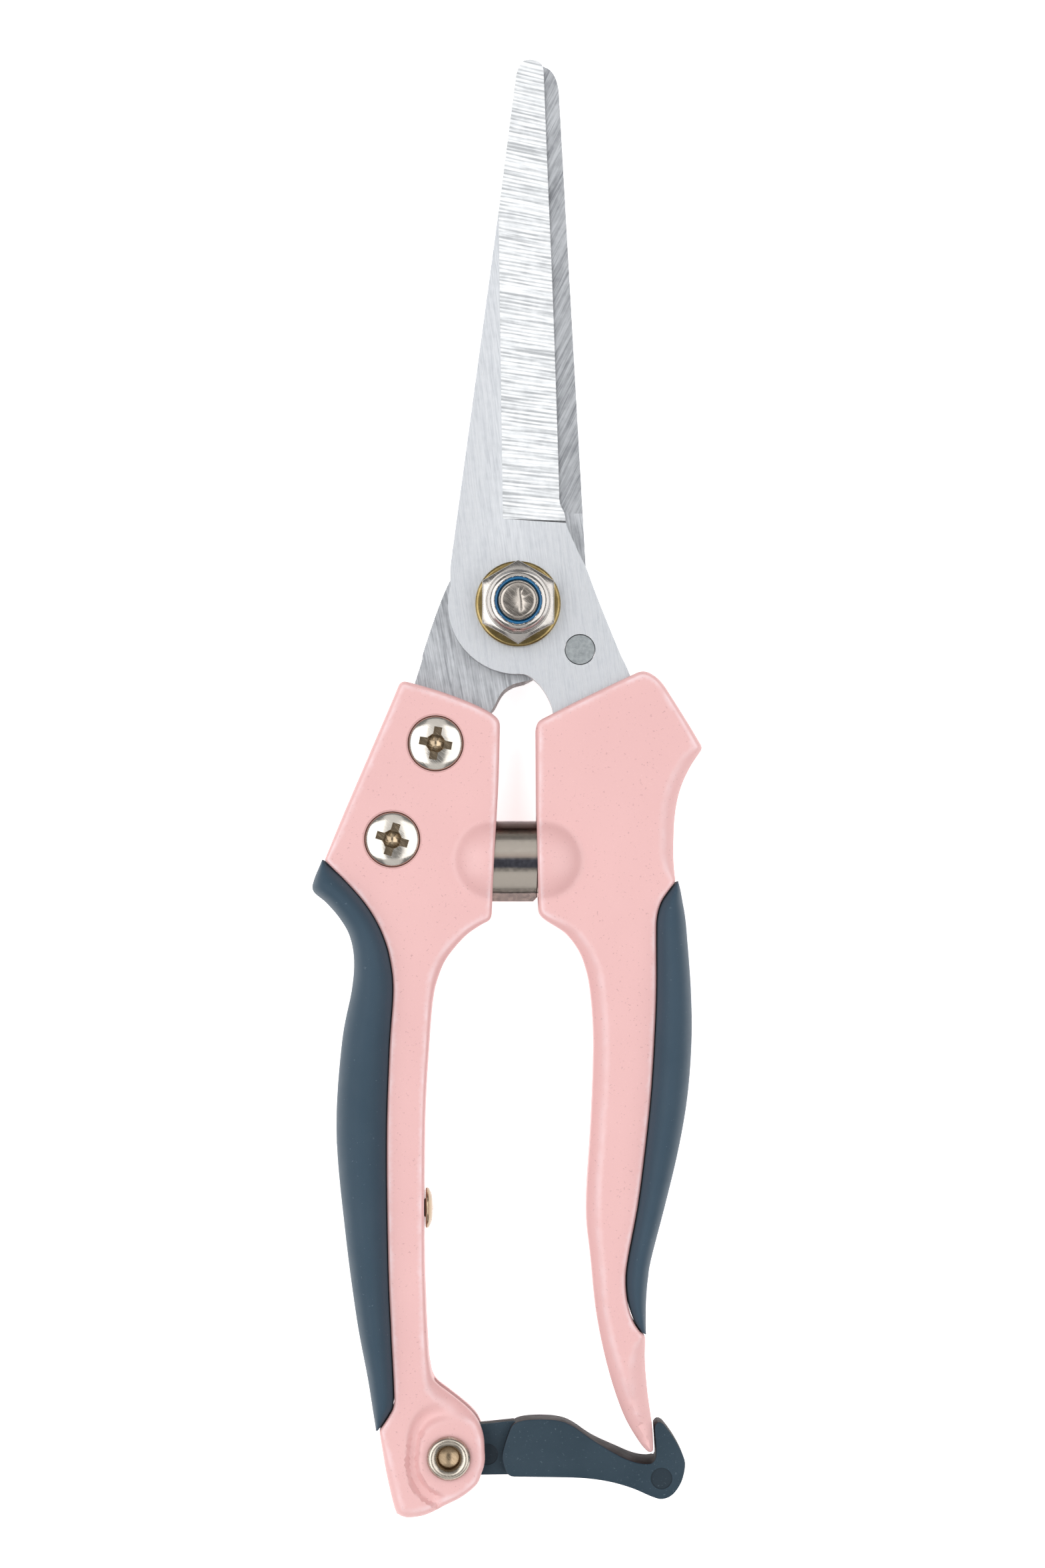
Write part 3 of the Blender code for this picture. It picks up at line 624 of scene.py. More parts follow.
def front_blade_outline():
    tip = [(3.6, 76.0, 0, 0.6), (2.9, 76.6), (1.7, 76.8), (0.6, 76.4), (-0.2, 75.0, 0, 1.0)]
    spine = [(-2.85, 54.2, 0, 2.0), (-9.6, 4.4, 0, 2.0)]
    heel = arc((0, 0), 9.8, 162, 264, 14)
    crotch = [(0.75, -9.8), (1.9, -10.3)]
    shoulder = [(12.7, -3.0), (10.9, 1.5), (9.6, 5.0), (8.6, 7.0), (7.6, 9.2), (6.8, 11.0, 0, 0.4),
                (6.65, 12.9, 0, 0.6), (5.85, 14.3, 0, 0.8)]
    edge = [(5.6, 23.2), (4.9, 43.8), (4.2, 60.6)]
    return closed_outline(tip + spine + heel + crotch + FRONT_TANG + shoulder + edge, 0.6)


def rear_blade_outline():
    tip = [(5.75, 73.1, 0, 0.8), (5.3, 74.5), (4.65, 75.5), (3.7, 76.05), (2.9, 76.15), (2.0, 75.0, 0, 0.6)]
    edge = [(-4.7, 14.8, 0, 0.5)]
    shoulder = [(-5.5, 12.9), (-5.9, 11.0), (-7.6, 7.0), (-9.6, 3.4), (-10.9, 0.4), (-12.1, -2.9)]
    crotch = [(-2.7, -12.9), (-2.0, -11.9), (-0.75, -11.1), (0.75, -10.7), (2.5, -10.2)]
    heel = arc((0, 0), 9.75, -72, -48.6, 4)
    notch = arc((0, 0), 8.2, -46.5, -4, 6)
    spine = [(9.75, -0.6, 0, 0.3), (9.7, 3.0, 0, 1.5)]
    return closed_outline(tip + edge + shoulder + REAR_TANG + crotch + heel + notch + spine, 0.6)


def grind_wedge(side):
    """The wedge ground off a blade's outer face, with a sloping run-out at its lower end."""
    thin = 0.55
    bm = bmesh.new()
    ends = []
    for y, line_x, edge_x, run_out in ((11.7, -2.1, 5.9, 0.75), (80.0, -3.4, 3.45, 0.0)):
        slope = (BLADE - thin) / (edge_x - line_x)
        near, far = line_x - 0.5 / slope, edge_x + 2.5
        lean = -0.065 if run_out else 0.0
        corners = [(near, y + lean * near, 0.5), (far, y + lean * far, 0.5),
                   (far, y + lean * far + run_out, -slope * (far - line_x))]
        ends.append([bm.verts.new((x * side, yy, side * (BLADE + z + BLADE_GAP / 2)))
                     for x, yy, z in corners])
    low, high = ends
    bm.faces.new(low)
    bm.faces.new(high)
    for i in range(3):
        j = (i + 1) % 3
        bm.faces.new((low[i], low[j], high[j], high[i]))
    return add("grind_wedge", bm)


def flare_crotch(obj):
    """The rear blade's blanked edge flares away from its upper face, between the handles."""
    for vertex in obj.data.vertices:
        x, y, z = vertex.co
        if z < -1 and y < -9.5:
            share = float(step(-4.6, -3.2, x) * (1 - step(0.6, 2.4, x)))
            vertex.co += Vector((0.14, -0.34, 0)) * share


def paint_by_face(obj, chooser):
    for polygon in obj.data.polygons:
        polygon.material_index = chooser(polygon)


def blade(name, outline, side, holes, materials, body, worn_edge):
    near = side * BLADE_GAP / 2
    far = side * (BLADE_GAP / 2 + BLADE)
    obj = prism(name + "_fine", outline, min(near, far), max(near, far), materials=materials)
    if side < 0:
        flare_crotch(obj)
    tools = [grind_wedge(side)]
    for i, (x, y, radius) in enumerate(holes):
        tools.append(rod(f"hole_{i}", (x, y), radius, -4, 4))
    cut(obj, tools)

    def ground(polygon):
        lean = abs(polygon.normal.z)
        return 1 if 0.9 < lean < 0.995 and polygon.center.y > 12 else 2 if lean <= 0.9 else 0

    paint_by_face(obj, ground)
    bevel(obj, worn_edge, 2, 9)
    for polygon in obj.data.polygons:
        if side < 0 and polygon.center.y < 0 and abs(polygon.normal.z) < 0.985:
            polygon.material_index = 2
    sharpen(obj, 20)
    return settle(obj, body, [name])


def make_blades():
    flat = ground_steel("blade_flat_steel", 97, 6500, (0.74, 0.76, 0.79), (0.50, 0.52, 0.55))
    facet = ground_steel("blade_ground_facet", -3, 4300, (0.58, 0.592, 0.603), (0.31, 0.32, 0.33),
                         lines=0.45, roughness=0.3, fan=1.7, pitch=0.56)
    rear = ground_steel("rear_blade_face", 100, 4400, (0.64, 0.66, 0.69), (0.27, 0.28, 0.30),
                        lines=0.6, roughness=0.36, upper_turn=64)
    edge = ground_steel("blade_edge_steel", 82, 3200, (0.40, 0.405, 0.41), (0.20, 0.20, 0.21))
    rear_edge = ground_steel("rear_blade_edge_steel", 82, 3200, (0.12, 0.10, 0.095), (0.05, 0.04, 0.04))
    pin_hole = (*STOP_PIN, 2.16)
    front_holes = [(0, 0, BOLT_HOLE), pin_hole, *((*place, SCREW_HOLE) for place in RIGHT_SCREWS)]
    rear_holes = [(0, 0, BOLT_HOLE), *((*place, SCREW_HOLE) for place in LEFT_SCREWS)]
    blade("front_blade", front_blade_outline(), 1, front_holes, [flat, facet, edge], "right_half", 0.09)
    blade("rear_blade", rear_blade_outline(), -1, rear_holes, [rear, facet, rear_edge], "left_half", 0.2)
    pin = plain("stop_pin_steel", (0.23, 0.25, 0.26), (0.345, 0.37, 0.38), 2400, 0.5, 1.0)
    reach = BLADE_GAP / 2 + BLADE
    profile = [(0, -reach + 0.05), (1.7, -reach + 0.05), (2.1, -reach + 0.4), (2.1, reach - 0.1),
               (2.02, reach - 0.02), (0, reach - 0.02)]
    turned("stop_pin_fine", profile, (*STOP_PIN, 0), body="right_half", replaces=["stop_pin"],
           slot="pin_steel", materials=[pin])


# ---------- pivot hardware ----------

def make_pivot():
    plate = nickel("nut_nickel", (0.47, 0.445, 0.42), 0.15)
    bolt_plate = nickel("bolt_nickel", (0.40, 0.365, 0.33), 0.17)
    brass = plain("washer_yellow_passivate", (0.20, 0.145, 0.058), (0.31, 0.235, 0.105), 900, 0.24, 1.0)
    blade_face = BLADE_GAP / 2 + BLADE
    for name, low in (("front_washer", blade_face + 0.05), ("rear_washer", -blade_face - 1.1)):
        profile = rounded([(3.25, low), (6.0, low), (6.0, low + 1.05), (3.25, low + 1.05)], 0.45)
        turned(name + "_fine", profile, sides=96, body="left_half", replaces=[name], slot="washer_brass",
               materials=[brass])
    nut_low, shoulder, top = 4.0, 8.0, 9.75
    corner = 5.0 / math.cos(math.radians(30))
    nut = prism("pivot_nut_fine", arc((0, 0), corner, 30, 330, 5), nut_low, shoulder, materials=[plate])
    chamfer = [(0, nut_low - 1), (8, nut_low - 1), (8, shoulder - 1.9), (4.55, shoulder + 0.02),
               (0, shoulder + 0.02)]
    cut(nut, [turned("chamfer", chamfer, sides=96)], "INTERSECT")
    collar = [(0, shoulder - 1), (4.4, shoulder - 1), (4.35, top - 0.9), (3.75, top), (0, top)]
    cut(nut, [turned("collar", rounded(collar, 0.5, 6), sides=96)], "UNION")
    bore = [(0, nut_low - 1), (3.0, nut_low - 1), (3.0, shoulder - 0.4), (3.75, shoulder - 0.4),
            (3.75, top - 0.5), (3.28, top - 0.32), (3.4, top + 1), (0, top + 1)]
    cut(nut, [turned("bore", bore, sides=96)])
    bevel(nut, 0.12, 3, 25)
    sharpen(nut, 35)
    settle(nut, "left_half", ["pivot_nut"])
    nylon = plain("nut_blue_nylon", (0.004, 0.085, 0.21), (0.008, 0.13, 0.29), 700, 0.3)
    ring = rounded([(2.92, shoulder - 0.2), (3.7, shoulder - 0.2), (3.7, top - 0.6), (3.2, top - 0.22),
                    (2.92, top - 0.3)], 0.15)
    turned("nut_nylon_ring_fine", ring, sides=96, body="left_half", replaces=["nut_nylon_ring"],
           slot="nylon_blue", materials=[nylon])
    head_low, head_high = -7.2, -blade_face - 1.15
    end = 10.15
    profile = [(0, head_low), (4.6, head_low), (5.6, head_low + 1.2), (5.6, head_high), (2.88, head_high),
               (2.88, end - 0.55), (2.35, end), (0, end + 0.02)]
    bolt = turned("pivot_bolt_fine", rounded(profile, 0.25), sides=96, materials=[bolt_plate])
    socket = turned("socket", [(0, -9), (2.3, -9), (2.3, -5.4), (0, -4.6)], sides=6)
    dent = [(0.1, 1.4), (0.5, 1.25), (0.35, 0.8), (0.8, 0.5), (0.5, 0.2), (0.95, -0.3), (0.6, -0.7),
            (0.85, -1.1), (0.4, -1.6), (0.0, -1.2), (0.2, -0.7), (-0.1, -0.2), (0.15, 0.3), (-0.15, 0.8)]
    cut(bolt, [socket, prism("dent", dent, end - 0.14, end + 1)])
    bevel(bolt, 0.08, 2, 40)
    sharpen(bolt, 35)
    settle(bolt, "left_half", ["pivot_bolt"])


# ---------- handles ----------

LEFT_SEAM = [(-27.0, -35.9), (-25.6, -37.3), (-24.0, -38.9), (-21.7, -41.5), (-20.0, -44.0), (-18.8, -46.5),
             (-17.9, -49.5), (-17.4, -54.0), (-17.9, -62.0), (-18.3, -75.0), (-18.1, -91.5),
             (-17.7, -101.5), (-17.3, -109.0), (-17.3, -111.8), (-17.9, -113.2), (-18.8, -114.6),
             (-19.3, -115.3)]
LEFT_GRIP_EDGE = [(-27.4, -35.75), (-28.6, -38.6), (-28.7, -40.2), (-26.9, -41.8), (-25.0, -44.0),
                  (-23.6, -46.5), (-23.0, -49.8), (-23.3, -54.0), (-24.7, -61.5), (-25.45, -74.0),
                  (-24.2, -88.0), (-22.6, -100.0), (-21.1, -108.0), (-20.55, -111.4), (-20.3, -113.0),
                  (-20.0, -114.8), (-19.9, -115.4)]
RIGHT_SEAM = [(22.0, -39.0), (21.2, -39.9), (20.0, -41.7), (19.4, -43.8), (19.3, -46.5), (19.3, -54.0),
              (19.0, -61.5), (18.5, -69.0), (17.7, -76.5), (16.7, -84.0), (15.3, -91.5), (15.0, -94.5),
              (15.25, -97.4), (16.0, -100.0), (17.0, -101.6), (17.5, -101.95)]
RIGHT_GRIP_EDGE = [(22.45, -38.75), (22.8, -39.9), (23.1, -41.5), (23.5, -43.8), (23.8, -47.0),
                   (24.3, -54.0), (24.4, -61.0), (23.8, -69.0), (22.5, -76.5), (20.7, -84.0), (18.75, -91.5),
                   (18.25, -94.5), (18.0, -97.4), (17.95, -100.0), (17.95, -101.6), (17.95, -102.0)]


def banded(points, band):
    return [(x, y, band) for x, y in points]


def left_handle_outline():
    top = [(-2.5, -16.3, 0.8, 0.9), (-4.3, -15.0, 0.8), (-7.3, -13.6, 0.8), (-11.5, -12.1, 0.8),
           (-16.4, -10.7, 0.8, 1.0)]
    outer = [(-17.4, -13.2, 0.8), (-21.0, -21.6, 0.8), (-24.6, -30.0, 0.8), (-27.0, -35.9, 0.5, 0.3)]
    seam = banded(LEFT_SEAM[1:-1], 0.45) + [(-19.35, -115.3, 0.6, 0.3)]
    heel = [(-18.4, -121.1, 1.2), (-17.2, -126.2, 1.3), (-16.6, -127.1, 1.2), (-15.4, -127.5, 1.2),
            (-13.5, -127.3, 1.2), (-12.1, -126.8, 1.1), (-9.75, -125.6, 1.0), (-7.75, -124.55, 0.9),
            (-5.75, -122.85, 0.8)]
    boss = banded(arc((CATCH.x, CATCH.y), 5.05, -25, 8, 3), 0.8)
    throat = [(-4.75, -116.6, 0.8), (-5.1, -115.2, 0.9), (-5.7, -113.9, 1.0), (-6.65, -112.75, 1.4),
              (-8.2, -111.4, 1.8), (-9.75, -110.2, 1.8), (-11.3, -109.0, 1.6), (-12.0, -107.9, 1.2),
              (-12.4, -105.9, 0.9), (-12.6, -103.5, 0.8)]
    inner = [(-12.9, -97.3, 0.7), (-13.1, -89.0, 0.6), (-13.0, -72.0, 0.6), (-12.4, -61.0, 0.7),
             (-11.9, -55.3, 0.9), (-11.2, -52.3, 1.2)]
    web = [(-10.0, -49.6, 1.2), (-7.5, -46.6, 1.0), (-5.3, -45.0, 0.9), (-3.7, -44.2, 0.7, 0.8),
           (-3.5, -39.0, 0.5), (-3.3, -35.0, 0.5), (-3.0, -30.0, 0.6), (-2.7, -24.0, 0.7)]
    return closed_outline(top + outer + seam + heel + boss + throat + inner + web)


def right_handle_outline():
    inner = [(2.5, -16.6, 0.8, 1.0), (2.6, -30.0, 0.6), (2.75, -38.0, 0.5), (2.9, -43.4, 0.7, 0.8)]
    web = [(4.1, -44.4, 1.0), (6.7, -46.1, 1.4), (8.55, -48.5, 1.7), (9.6, -51.2, 1.9),
           (10.2, -54.5, 1.9), (10.6, -60.0, 1.9), (10.5, -67.0, 1.9), (10.1, -75.0, 1.8),
           (9.65, -82.0, 1.8), (9.65, -86.5, 1.8)]
    tail = [(10.2, -91.5, 1.7), (10.9, -98.5, 1.6), (11.9, -104.0, 1.7), (13.2, -109.0, 2.0),
            (14.9, -113.6, 2.2), (16.9, -117.0, 2.0), (18.2, -118.5, 1.6, 0.4), (18.9, -118.4, 1.6, 0.4),
            (18.75, -115.0, 2.2), (18.1, -110.0, 2.6), (17.75, -105.7, 2.2), (17.75, -102.4, 1.0)]
    seam = banded(RIGHT_SEAM[-2:0:-1], 0.45)
    outer = [(22.0, -38.9, 0.6, 0.4), (21.75, -35.5, 1.7), (21.9, -30.2, 1.9), (22.6, -26.3, 1.9),
             (24.0, -23.0, 1.8), (25.85, -20.2, 1.0, 0.5)]
    top = [(23.5, -16.3, 0.8), (19.9, -10.6, 0.8, 1.6), (17.6, -9.2, 0.8, 1.2), (9.0, -13.3, 0.8)]
    return closed_outline(inner + web + tail + [(17.5, -101.95, 0.6, 0.3)] + seam + outer + top)


def left_height(x, y):
    """The left face: spring bulge, and the crescent hollow that sets off the rivet boss."""
    dx, dy = x - CATCH.x, y - CATCH.y
    reach = np.hypot(dx, dy)
    bearing = np.degrees(np.arctan2(dy, dx)) % 360
    lower = step(170, 265, bearing)
    upper = 1 - step(110, 175, bearing)
    inner_wall = step(4.0 + 0.9 * lower + 0.9 * upper, 4.7 + 0.9 * lower + 1.5 * upper, reach)
    outer_wall = 1 - step(5.45 + 1.25 * lower + 0.8 * upper, 6.0 + 1.25 * lower + 2.4 * upper, reach)
    shown = step(60, 125, bearing) * (1 - step(248, 270, bearing))
    return bulge_height(x, y, -1) - 1.0 * inner_wall * outer_wall * shown


def right_height(x, y):
    return bulge_height(x, y, 1)


def handle_tools(side, screws, front, tang):
    """What is bored and slotted out of a handle: spring pocket, screw seats and tang slot."""
    low, high = sorted((side * 0.5, side * 5.6))
    pocket = [(0, low), (POCKET_RADIUS, low), (POCKET_RADIUS, high), (0, high)]
    tools = [turned("pocket", pocket, (0, SPRING_Y, 0), 72, ALONG_X)]
    for i, (x, y) in enumerate(screws):
        profile = [(0, 3.4), (3.9, 3.4), (3.9, 4.55), (4.2, 4.85), (4.2, 6), (0, 6)]
        profile = [(radius, front * z) for radius, z in profile]
        tools.append(turned(f"seat_{i}", profile, (x, y, 0), 72))
        low, high = sorted((-front * 3.8, front * 3.6))
        tools.append(rod(f"screw_bore_{i}", (x, y), 2.1, low, high, 32))
    slack = 0.12
    near = side * (BLADE_GAP / 2 - slack)
    far = side * (BLADE_GAP / 2 + BLADE + slack)
    outline = closed_outline(tang, 1.0)
    middle = outline[:, :2].mean(0)
    outline[:, :2] = middle + (outline[:, :2] - middle) * 1.02
    tools.append(prism("tang_slot", outline, min(near, far), max(near, far)))
    return tools


def make_handles():
    paint = powder_coat()
    left = casting("left_handle_fine", left_handle_outline(), left_height, 0.45)
    left.data.materials.append(paint)
    tools = handle_tools(-1, LEFT_SCREWS, 1, REAR_TANG)
    slot = [(-2.4, 10.6), (-5.3, 6.0), (-5.3, -4.0), (-4.9, -10.0), (9.0, -10.0), (9.0, 10.6)]
    slot = [(x + CATCH.x, y + CATCH.y) for x, y in slot]
    tools.append(prism("catch_slot", slot, -1.8, 1.8))
    tools.append(rod("rivet_bore", (CATCH.x, CATCH.y), 2.1, -6, 6, 32))
    stud_hole = [(0, -16.2), (1.5, -16.2), (1.5, -10), (0, -10)]
    tools.append(turned("stud_hole", stud_hole, (0, STUD_Y, 0), 24, ALONG_X))
    cut(left, tools)
    sharpen(left, 38)
    settle(left, "left_half", ["left_handle"])

    right = casting("right_handle_fine", right_handle_outline(), right_height, 0.45)
    right.data.materials.append(paint)
    cut(right, handle_tools(1, RIGHT_SCREWS, -1, FRONT_TANG))
    sharpen(right, 38)
    settle(right, "right_half", ["right_handle"])


def grip(name, seam, edge, side, body, material):
    """A crowned strip between the seam and the outer edge, closed at both ends."""
    fine = np.linspace(0, len(seam) - 1, 110)
    near = np.array(curve_at([(x + side * 0.12, y) for x, y in seam], fine))
    far = np.array(curve_at(edge, fine))
    section = [(0.0, 0.60), (0.015, 0.672), (0.05, 0.74), (0.12, 0.83), (0.22, 0.92), (0.36, 0.985),
               (0.5, 1.0), (0.64, 0.97), (0.77, 0.88), (0.87, 0.74), (0.94, 0.57), (0.985, 0.34),
               (1.0, 0.12)]
    bm = bmesh.new()
    rings = []
    for a, b in zip(near, far):
        span = b - a
        width = float(np.linalg.norm(span))
        fullness = min(1.0, 0.60 + width / 12.5)
        points = [(a + span * share, lift * GRIP_HALF * fullness) for share, lift in section]
        points += [(p, -z) for p, z in points[::-1]]
        rings.append([bm.verts.new((p[0], p[1], z)) for p, z in points])
    for one, two in zip(rings, rings[1:]):
        for i in range(len(one)):
            j = (i + 1) % len(one)
            bm.faces.new((one[i], one[j], two[j], two[i]))
    bm.faces.new(rings[0])
    bm.faces.new(rings[-1])
    return add(name + "_fine", bm, body, [name], "grip_rubber", [material], 50)


def make_grips():
    rubber = soft_grip()
    grip("left_grip", LEFT_SEAM, LEFT_GRIP_EDGE, -1, "left_half", rubber)
    grip("right_grip", RIGHT_SEAM, RIGHT_GRIP_EDGE, 1, "right_half", rubber)


# ---------- fasteners ----------

def cross_recess(half, reach, corner, high, low):
    """The cutter for a cross recess whose inner corners are rounded off."""
    arm = [(half, reach), (-half, reach)]
    elbow = [(-half, half + corner), (-half - 0.25 * corner, half + 0.25 * corner), (-half - corner, half)]
    outline = []
    for quarter in range(4):
        spin = Matrix.Rotation(math.radians(90 * quarter), 2)
        outline += [spin @ Vector(p) for p in arm + elbow]
    return prism("recess", outline, low, high)


def cross_screw(name, place, front, turn, body, material):
    seat, shoulder, crown, head = 3.65, 4.5, 5.5, 3.82
    dome = [(head * math.cos(a), shoulder + (crown - shoulder) * math.sin(a))
            for a in (math.radians(k * 9) for k in range(10))]
    profile = [(0, -3.5), (1.5, -3.5), (1.85, -3.1), (1.85, seat), (head - 0.1, seat),
               (head, seat + 0.1), *dome, (0, crown)]
    screw = turned(name + "_fine", profile, sides=80, materials=[material])
    heart = [(0, crown + 1), (1.55, crown + 1), (1.3, crown - 0.95), (0.7, crown - 1.5), (0, crown - 1.75)]
    cut(screw, [cross_recess(0.56, 2.3, 0.62, crown + 1, crown - 1.0),
                turned("heart", heart, sides=8, turn=Matrix.Rotation(math.radians(22.5), 4, "Z"))])
    sharpen(screw, 30)
    flip = Matrix.Rotation(math.pi, 4, "X") if front < 0 else Matrix.Identity(4)
    spin = Matrix.Rotation(math.radians(-turn), 4, "Z")
    screw.data.transform(Matrix.Translation((*place, 0)) @ flip @ spin)
    return settle(screw, body, [name])


def make_fasteners():
    # the heights below which the nickel gets its painted shade
    bright = nickel("screw_nickel", (0.64, 0.60, 0.545), 0.15, 4.72)
    dull = nickel("rivet_nickel", (0.50, 0.45, 0.385), 0.24, 4.9)
    cross_screw("left_upper_screw", LEFT_SCREWS[0], 1, 10, "left_half", bright)
    cross_screw("left_lower_screw", LEFT_SCREWS[1], 1, 16.5, "left_half", bright)
    cross_screw("right_upper_screw", RIGHT_SCREWS[0], -1, 25, "right_half", bright)
    cross_screw("right_lower_screw", RIGHT_SCREWS[1], -1, 60, "right_half", bright)
    face = HALF_HANDLE
    rivet = [(0, -face - 1.25), (2.4, -face - 1.25), (3.4, -face - 0.5), (3.4, -face - 0.05),
             (1.9, -face - 0.05), (1.9, face + 0.05), (3.0, face + 0.05), (3.1, face + 0.5),
             (2.7, face + 1.05), (2.25, face + 1.1), (1.75, face + 0.75), (1.62, face + 0.2),
             (1.6, face - 1.2), (0, face - 1.95)]
    turned("catch_rivet_fine", rounded(rivet, 0.28, 4), (CATCH.x, CATCH.y, 0), 80, body="left_half",
           replaces=["catch_rivet"], slot="nickel", materials=[dull], smooth=35)
    stud = [(0, -15.8), (1.2, -15.8), (1.2, -12.95), (2.85, -12.95), (2.85, -12.5), (1.9, -12.05),
            (0, -11.85)]
    turned("catch_rest_stud_fine", rounded(stud, 0.3), (0, STUD_Y, 0), 64, ALONG_X, body="left_half",
           replaces=["catch_rest_stud"], slot="nickel", materials=[bright])


# ---------- spring ----------

def spring_metal():
    """Rolled nickel strip with bands of painted reflection across it: a dark band at the upper turn, a dark
    grey one in the middle, a tan one beside it, and pink at the tail below a dark line where the strip ends.
    """
    n = Nodes("spring_rolled_nickel")
    low_edge = PIVOT.y + (SPRING_Y - 6.5) * MM
    across = n.math("DIVIDE", n.math("SUBTRACT", n.split()["Y"], low_edge), 13 * MM)
    drift = n.math("MULTIPLY", n.math("SUBTRACT", n.noise(350, 3), 0.5), 0.012)
    steel, top_painted_reflection, middle_painted_reflection = (0.45, 0.405, 0.355), (0.060, 0.036, 0.028), (0.12, 0.12, 0.145)
    pink_painted_reflection, line, tan_painted_reflection = (0.72, 0.58, 0.53), (0.05, 0.045, 0.04), (0.36, 0.30, 0.26)
    # painted reflection bands across the strip, over the steel's own grey; the dark line sits where the
    # strip ends
    colour = n.ramp(n.math("ADD", across, drift), (0.143, pink_painted_reflection), (0.155, line), (0.167, steel),
                    (0.40, steel), (0.43, middle_painted_reflection), (0.50, middle_painted_reflection), (0.54, tan_painted_reflection), (0.60, steel),
                    (0.78, steel), (0.83, top_painted_reflection))
    speck = n.noise(1600, 4)
    rough = n.ramp(speck, (0.35, 0.18), (0.65, 0.26))
    return n.finish(colour, rough, 1.0, n.bump(speck, 0.000006, 0.6))


def make_spring():
    """The volute: a straight tail, then a spiral whose turns telescope along x."""
    strip, width, pitch, turns, facets = 0.45, 8.0, 0.85, 3.0, 56
    outer, start_x, end_x = 5.9, -5.3, -2.7
    first = math.radians(-44)
    lines = []
    for i in range(-6, int(turns * facets) + 1):
        share = max(0.0, i / (turns * facets))
        angle = first + share * turns * 2 * math.pi
        tail = 0.38 * -min(0, i)
        radius = outer - pitch * turns * share
        centre = np.array([math.sin(angle), math.cos(angle)])
        along = np.array([-math.cos(angle), math.sin(angle)])
        lines.append((share, start_x + (end_x - start_x) * share, centre * radius + along * tail, centre))
    bm = bmesh.new()
    share_layer = bm.verts.layers.float.new("turn_share")
    soft = 0.12
    rings = []
    for k, (share, x, point, outwards) in enumerate(lines):
        pull = 0.5 * max(0.0, 1 - k / 2.0)
        ring = []
        for dx, lift in ((soft, 0), (width - soft, 0), (width, soft), (width, strip - soft),
                         (width - soft, strip), (soft, strip), (0, strip - soft), (0, soft)):
            inset = pull if dx < width / 2 else -pull
            at = point - outwards * lift
            vert = bm.verts.new((x + dx + inset, SPRING_Y + at[0], at[1]))
            vert[share_layer] = share
            ring.append(vert)
        rings.append(ring)
    for one, two in zip(rings, rings[1:]):
        for i in range(8):
            j = (i + 1) % 8
            bm.faces.new((one[i], one[j], two[j], two[i]))
    bm.faces.new(rings[0])
    bm.faces.new(rings[-1])
    spring = add("volute_spring_fine", bm, materials=[spring_metal()], smooth=40)
    spring.data.transform(TO_FRAME)
    shares = np.zeros(len(spring.data.vertices), np.float32)
    spring.data.attributes["turn_share"].data.foreach_get("value", shares)
    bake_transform(spring)
    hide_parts("volute_spring")


# ---------- catch ----------

def flare_notch(lever):
    """The notch's wall slopes out below the handle's tip, as far as the hook's own inner edge."""
    for vertex in lever.data.vertices:
        x, y, z = vertex.co
        if z < 0 and y > -120.4:
            share = step(9.0, 15.0, x) * (1 - step(18.7, 19.3, x))
            vertex.co.y += 0.65 * float(share)


def make_catch():
    """A thick arm with a hook, and a thinner eye that swings between the handle's cheeks."""
    face = catch_plastic("catch_moulded_plastic", (0.010, 0.027, 0.042), (0.018, 0.038, 0.056))
    # the side walls get a near-black copy of the plastic, a painted shade
    wall = catch_plastic("catch_plastic_wall_painted_shade", (0.007, 0.005, 0.005), (0.013, 0.010, 0.010), 0.08)
    mark = catch_plastic("catch_ejector_mark", (0.004, 0.014, 0.024), (0.009, 0.021, 0.032))
    upper = [(-0.8, -114.6, 0, 0.7), (0.8, -114.1), (3.3, -113.95), (5.7, -114.15), (7.6, -114.85),
             (10.4, -116.8), (12.9, -118.35), (15.1, -119.5), (17.0, -120.1), (18.6, -120.15)]
    hook = [(19.35, -119.5, 0, 0.7), (19.2, -117.0), (19.05, -115.0, 0, 0.35), (19.45, -114.25, 0, 0.5),
            (20.3, -114.6), (21.9, -116.75), (23.1, -119.1), (23.35, -120.6), (22.8, -122.8), (21.6, -124.5)]
    lower = [(20.2, -125.1), (18.8, -124.8), (16.0, -123.6), (12.9, -122.7), (9.5, -122.2), (5.7, -122.05),
             (-1.4, -121.95, 0, 0.9), (-2.2, -119.4), (-1.7, -117.0)]
    outline = closed_outline(upper + hook + lower, 0.5)[::-1]
    lever = prism("catch_lever_fine", outline, -3.0, 3.0, materials=[face, wall, mark])
    flare_notch(lever)
    bevel(lever, 0.42, 4, 50)
    eye = arc((CATCH.x, CATCH.y), 4.3, 70, 222, 40)
    tail = [(0.9, -121.8), (0.9, -115.0), (-0.6, -114.3)]
    shank = prism("shank", eye + tail, -1.5, 1.5)
    bevel(shank, 0.15, 2, 50)
    cut(lever, [shank], "UNION")
    hook_mark, eye_mark, mark_radius = (20.05, -122.2), (-4.3, -119.0), 1.5
    cut(lever, [rod("rivet_hole", (CATCH.x, CATCH.y), 2.05, -5, 5, 40),
                rod("mark_hook", hook_mark, mark_radius, 2.85, 4),
                rod("mark_eye", eye_mark, mark_radius, 1.35, 2)])

    def by_face(polygon):
        x, y, _ = polygon.center
        near_mark = any(math.hypot(x - mx, y - my) < mark_radius for mx, my in (hook_mark, eye_mark))
        if polygon.normal.z > 0.9 and near_mark:
            return 2
        # side walls take the painted-shade copy of the plastic
        return 1 if abs(polygon.normal.z) < 0.35 else 0

    paint_by_face(lever, by_face)
    sharpen(lever, 35)
    settle(lever, "catch", ["catch_lever"])


# ---------- the set ----------

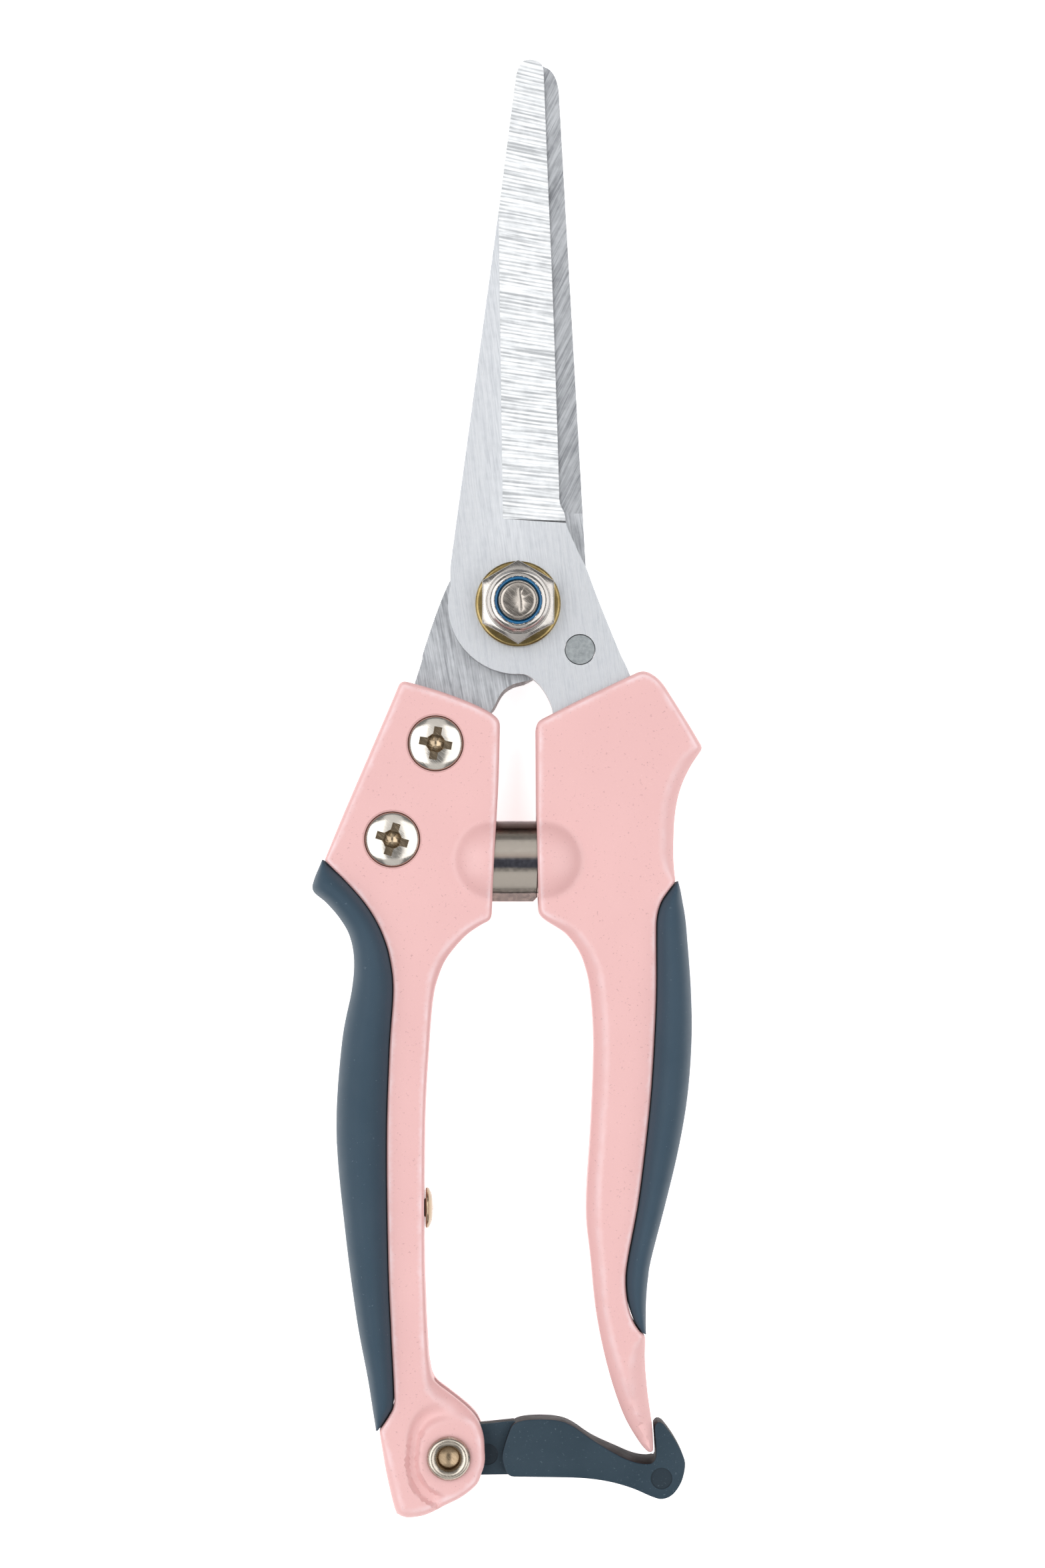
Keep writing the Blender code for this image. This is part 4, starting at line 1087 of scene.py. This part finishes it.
def make_stage():
    bm = bmesh.new()
    bmesh.ops.create_grid(bm, x_segments=1, y_segments=1, size=3.0)
    bmesh.ops.translate(bm, verts=bm.verts, vec=(0, 0, -FLOOR_GAP))
    floor = add("floor", bm, smooth=0)
    n = Nodes("pale_floor")
    paper = n.ramp(n.noise(3), (0.3, 0.95), (0.7, 0.97))
    floor.data.materials.append(n.finish(paper, 0.9, specular_ior_level=0.1, emission_color=(1.0, 1.0, 1.0),
                                         emission_strength=0.6))
    world = bpy.data.worlds.new("studio")
    bpy.context.scene.world = world
    world.use_nodes = True
    world.node_tree.nodes["Background"].inputs["Color"].default_value = (1.0, 1.0, 1.0, 1)
    world.node_tree.nodes["Background"].inputs["Strength"].default_value = 0.24
    softbox("left_softbox", -40, 0, 1.2, 1.6, 2.45)
    softbox("right_softbox", 40, 0, 1.2, 1.6, 1.85)
    softbox("back_softbox", 0, 36, 0.8, 1.2, 0.7)
    softbox("front_softbox", 0, -53, 0.8, 1.1, 0.65)


def softbox(name, lean_x, lean_y, width, depth, radiance):
    """A panel that faces the snips from a lean in degrees off the zenith."""
    light = bpy.data.lights.new(name, "AREA")
    light.shape = "RECTANGLE"
    light.size = width
    light.size_y = depth
    light.energy = radiance * math.pi * width * depth
    obj = bpy.data.objects.new(name, light)
    bpy.context.scene.collection.objects.link(obj)
    tilt = Matrix.Rotation(math.radians(lean_x), 4, "Y") @ Matrix.Rotation(math.radians(-lean_y), 4, "X")
    obj.matrix_world = tilt @ Matrix.Translation((0, 0, 1.2))


def make_camera():
    """Straight above, tips up, as far off as the picture's mild perspective asks."""
    data = bpy.data.cameras.new("camera")
    camera = bpy.data.objects.new("camera", data)
    bpy.context.scene.collection.objects.link(camera)
    data.sensor_fit = "VERTICAL"
    distance, picture_height = 0.56, 0.2199
    data.angle = 2 * math.atan(picture_height / 2 / distance)
    data.shift_y = 0.06
    data.clip_start = 0.01
    aim = Vector((0.0022, -0.0130, 0.0085))
    eye = aim + Vector((-0.005, -0.007, distance))
    back = (eye - aim).normalized()
    right = Vector((0, 1, 0)).cross(back).normalized()
    up = back.cross(right)
    camera.matrix_world = Matrix.Translation(eye) @ Matrix((right, up, back)).transposed().to_4x4()
    bpy.context.scene.camera = camera
    bpy.context.scene.view_settings.view_transform = "Standard"


make_blades()
make_pivot()
make_handles()
make_grips()
make_fasteners()
make_spring()
make_catch()
make_stage()
make_camera()
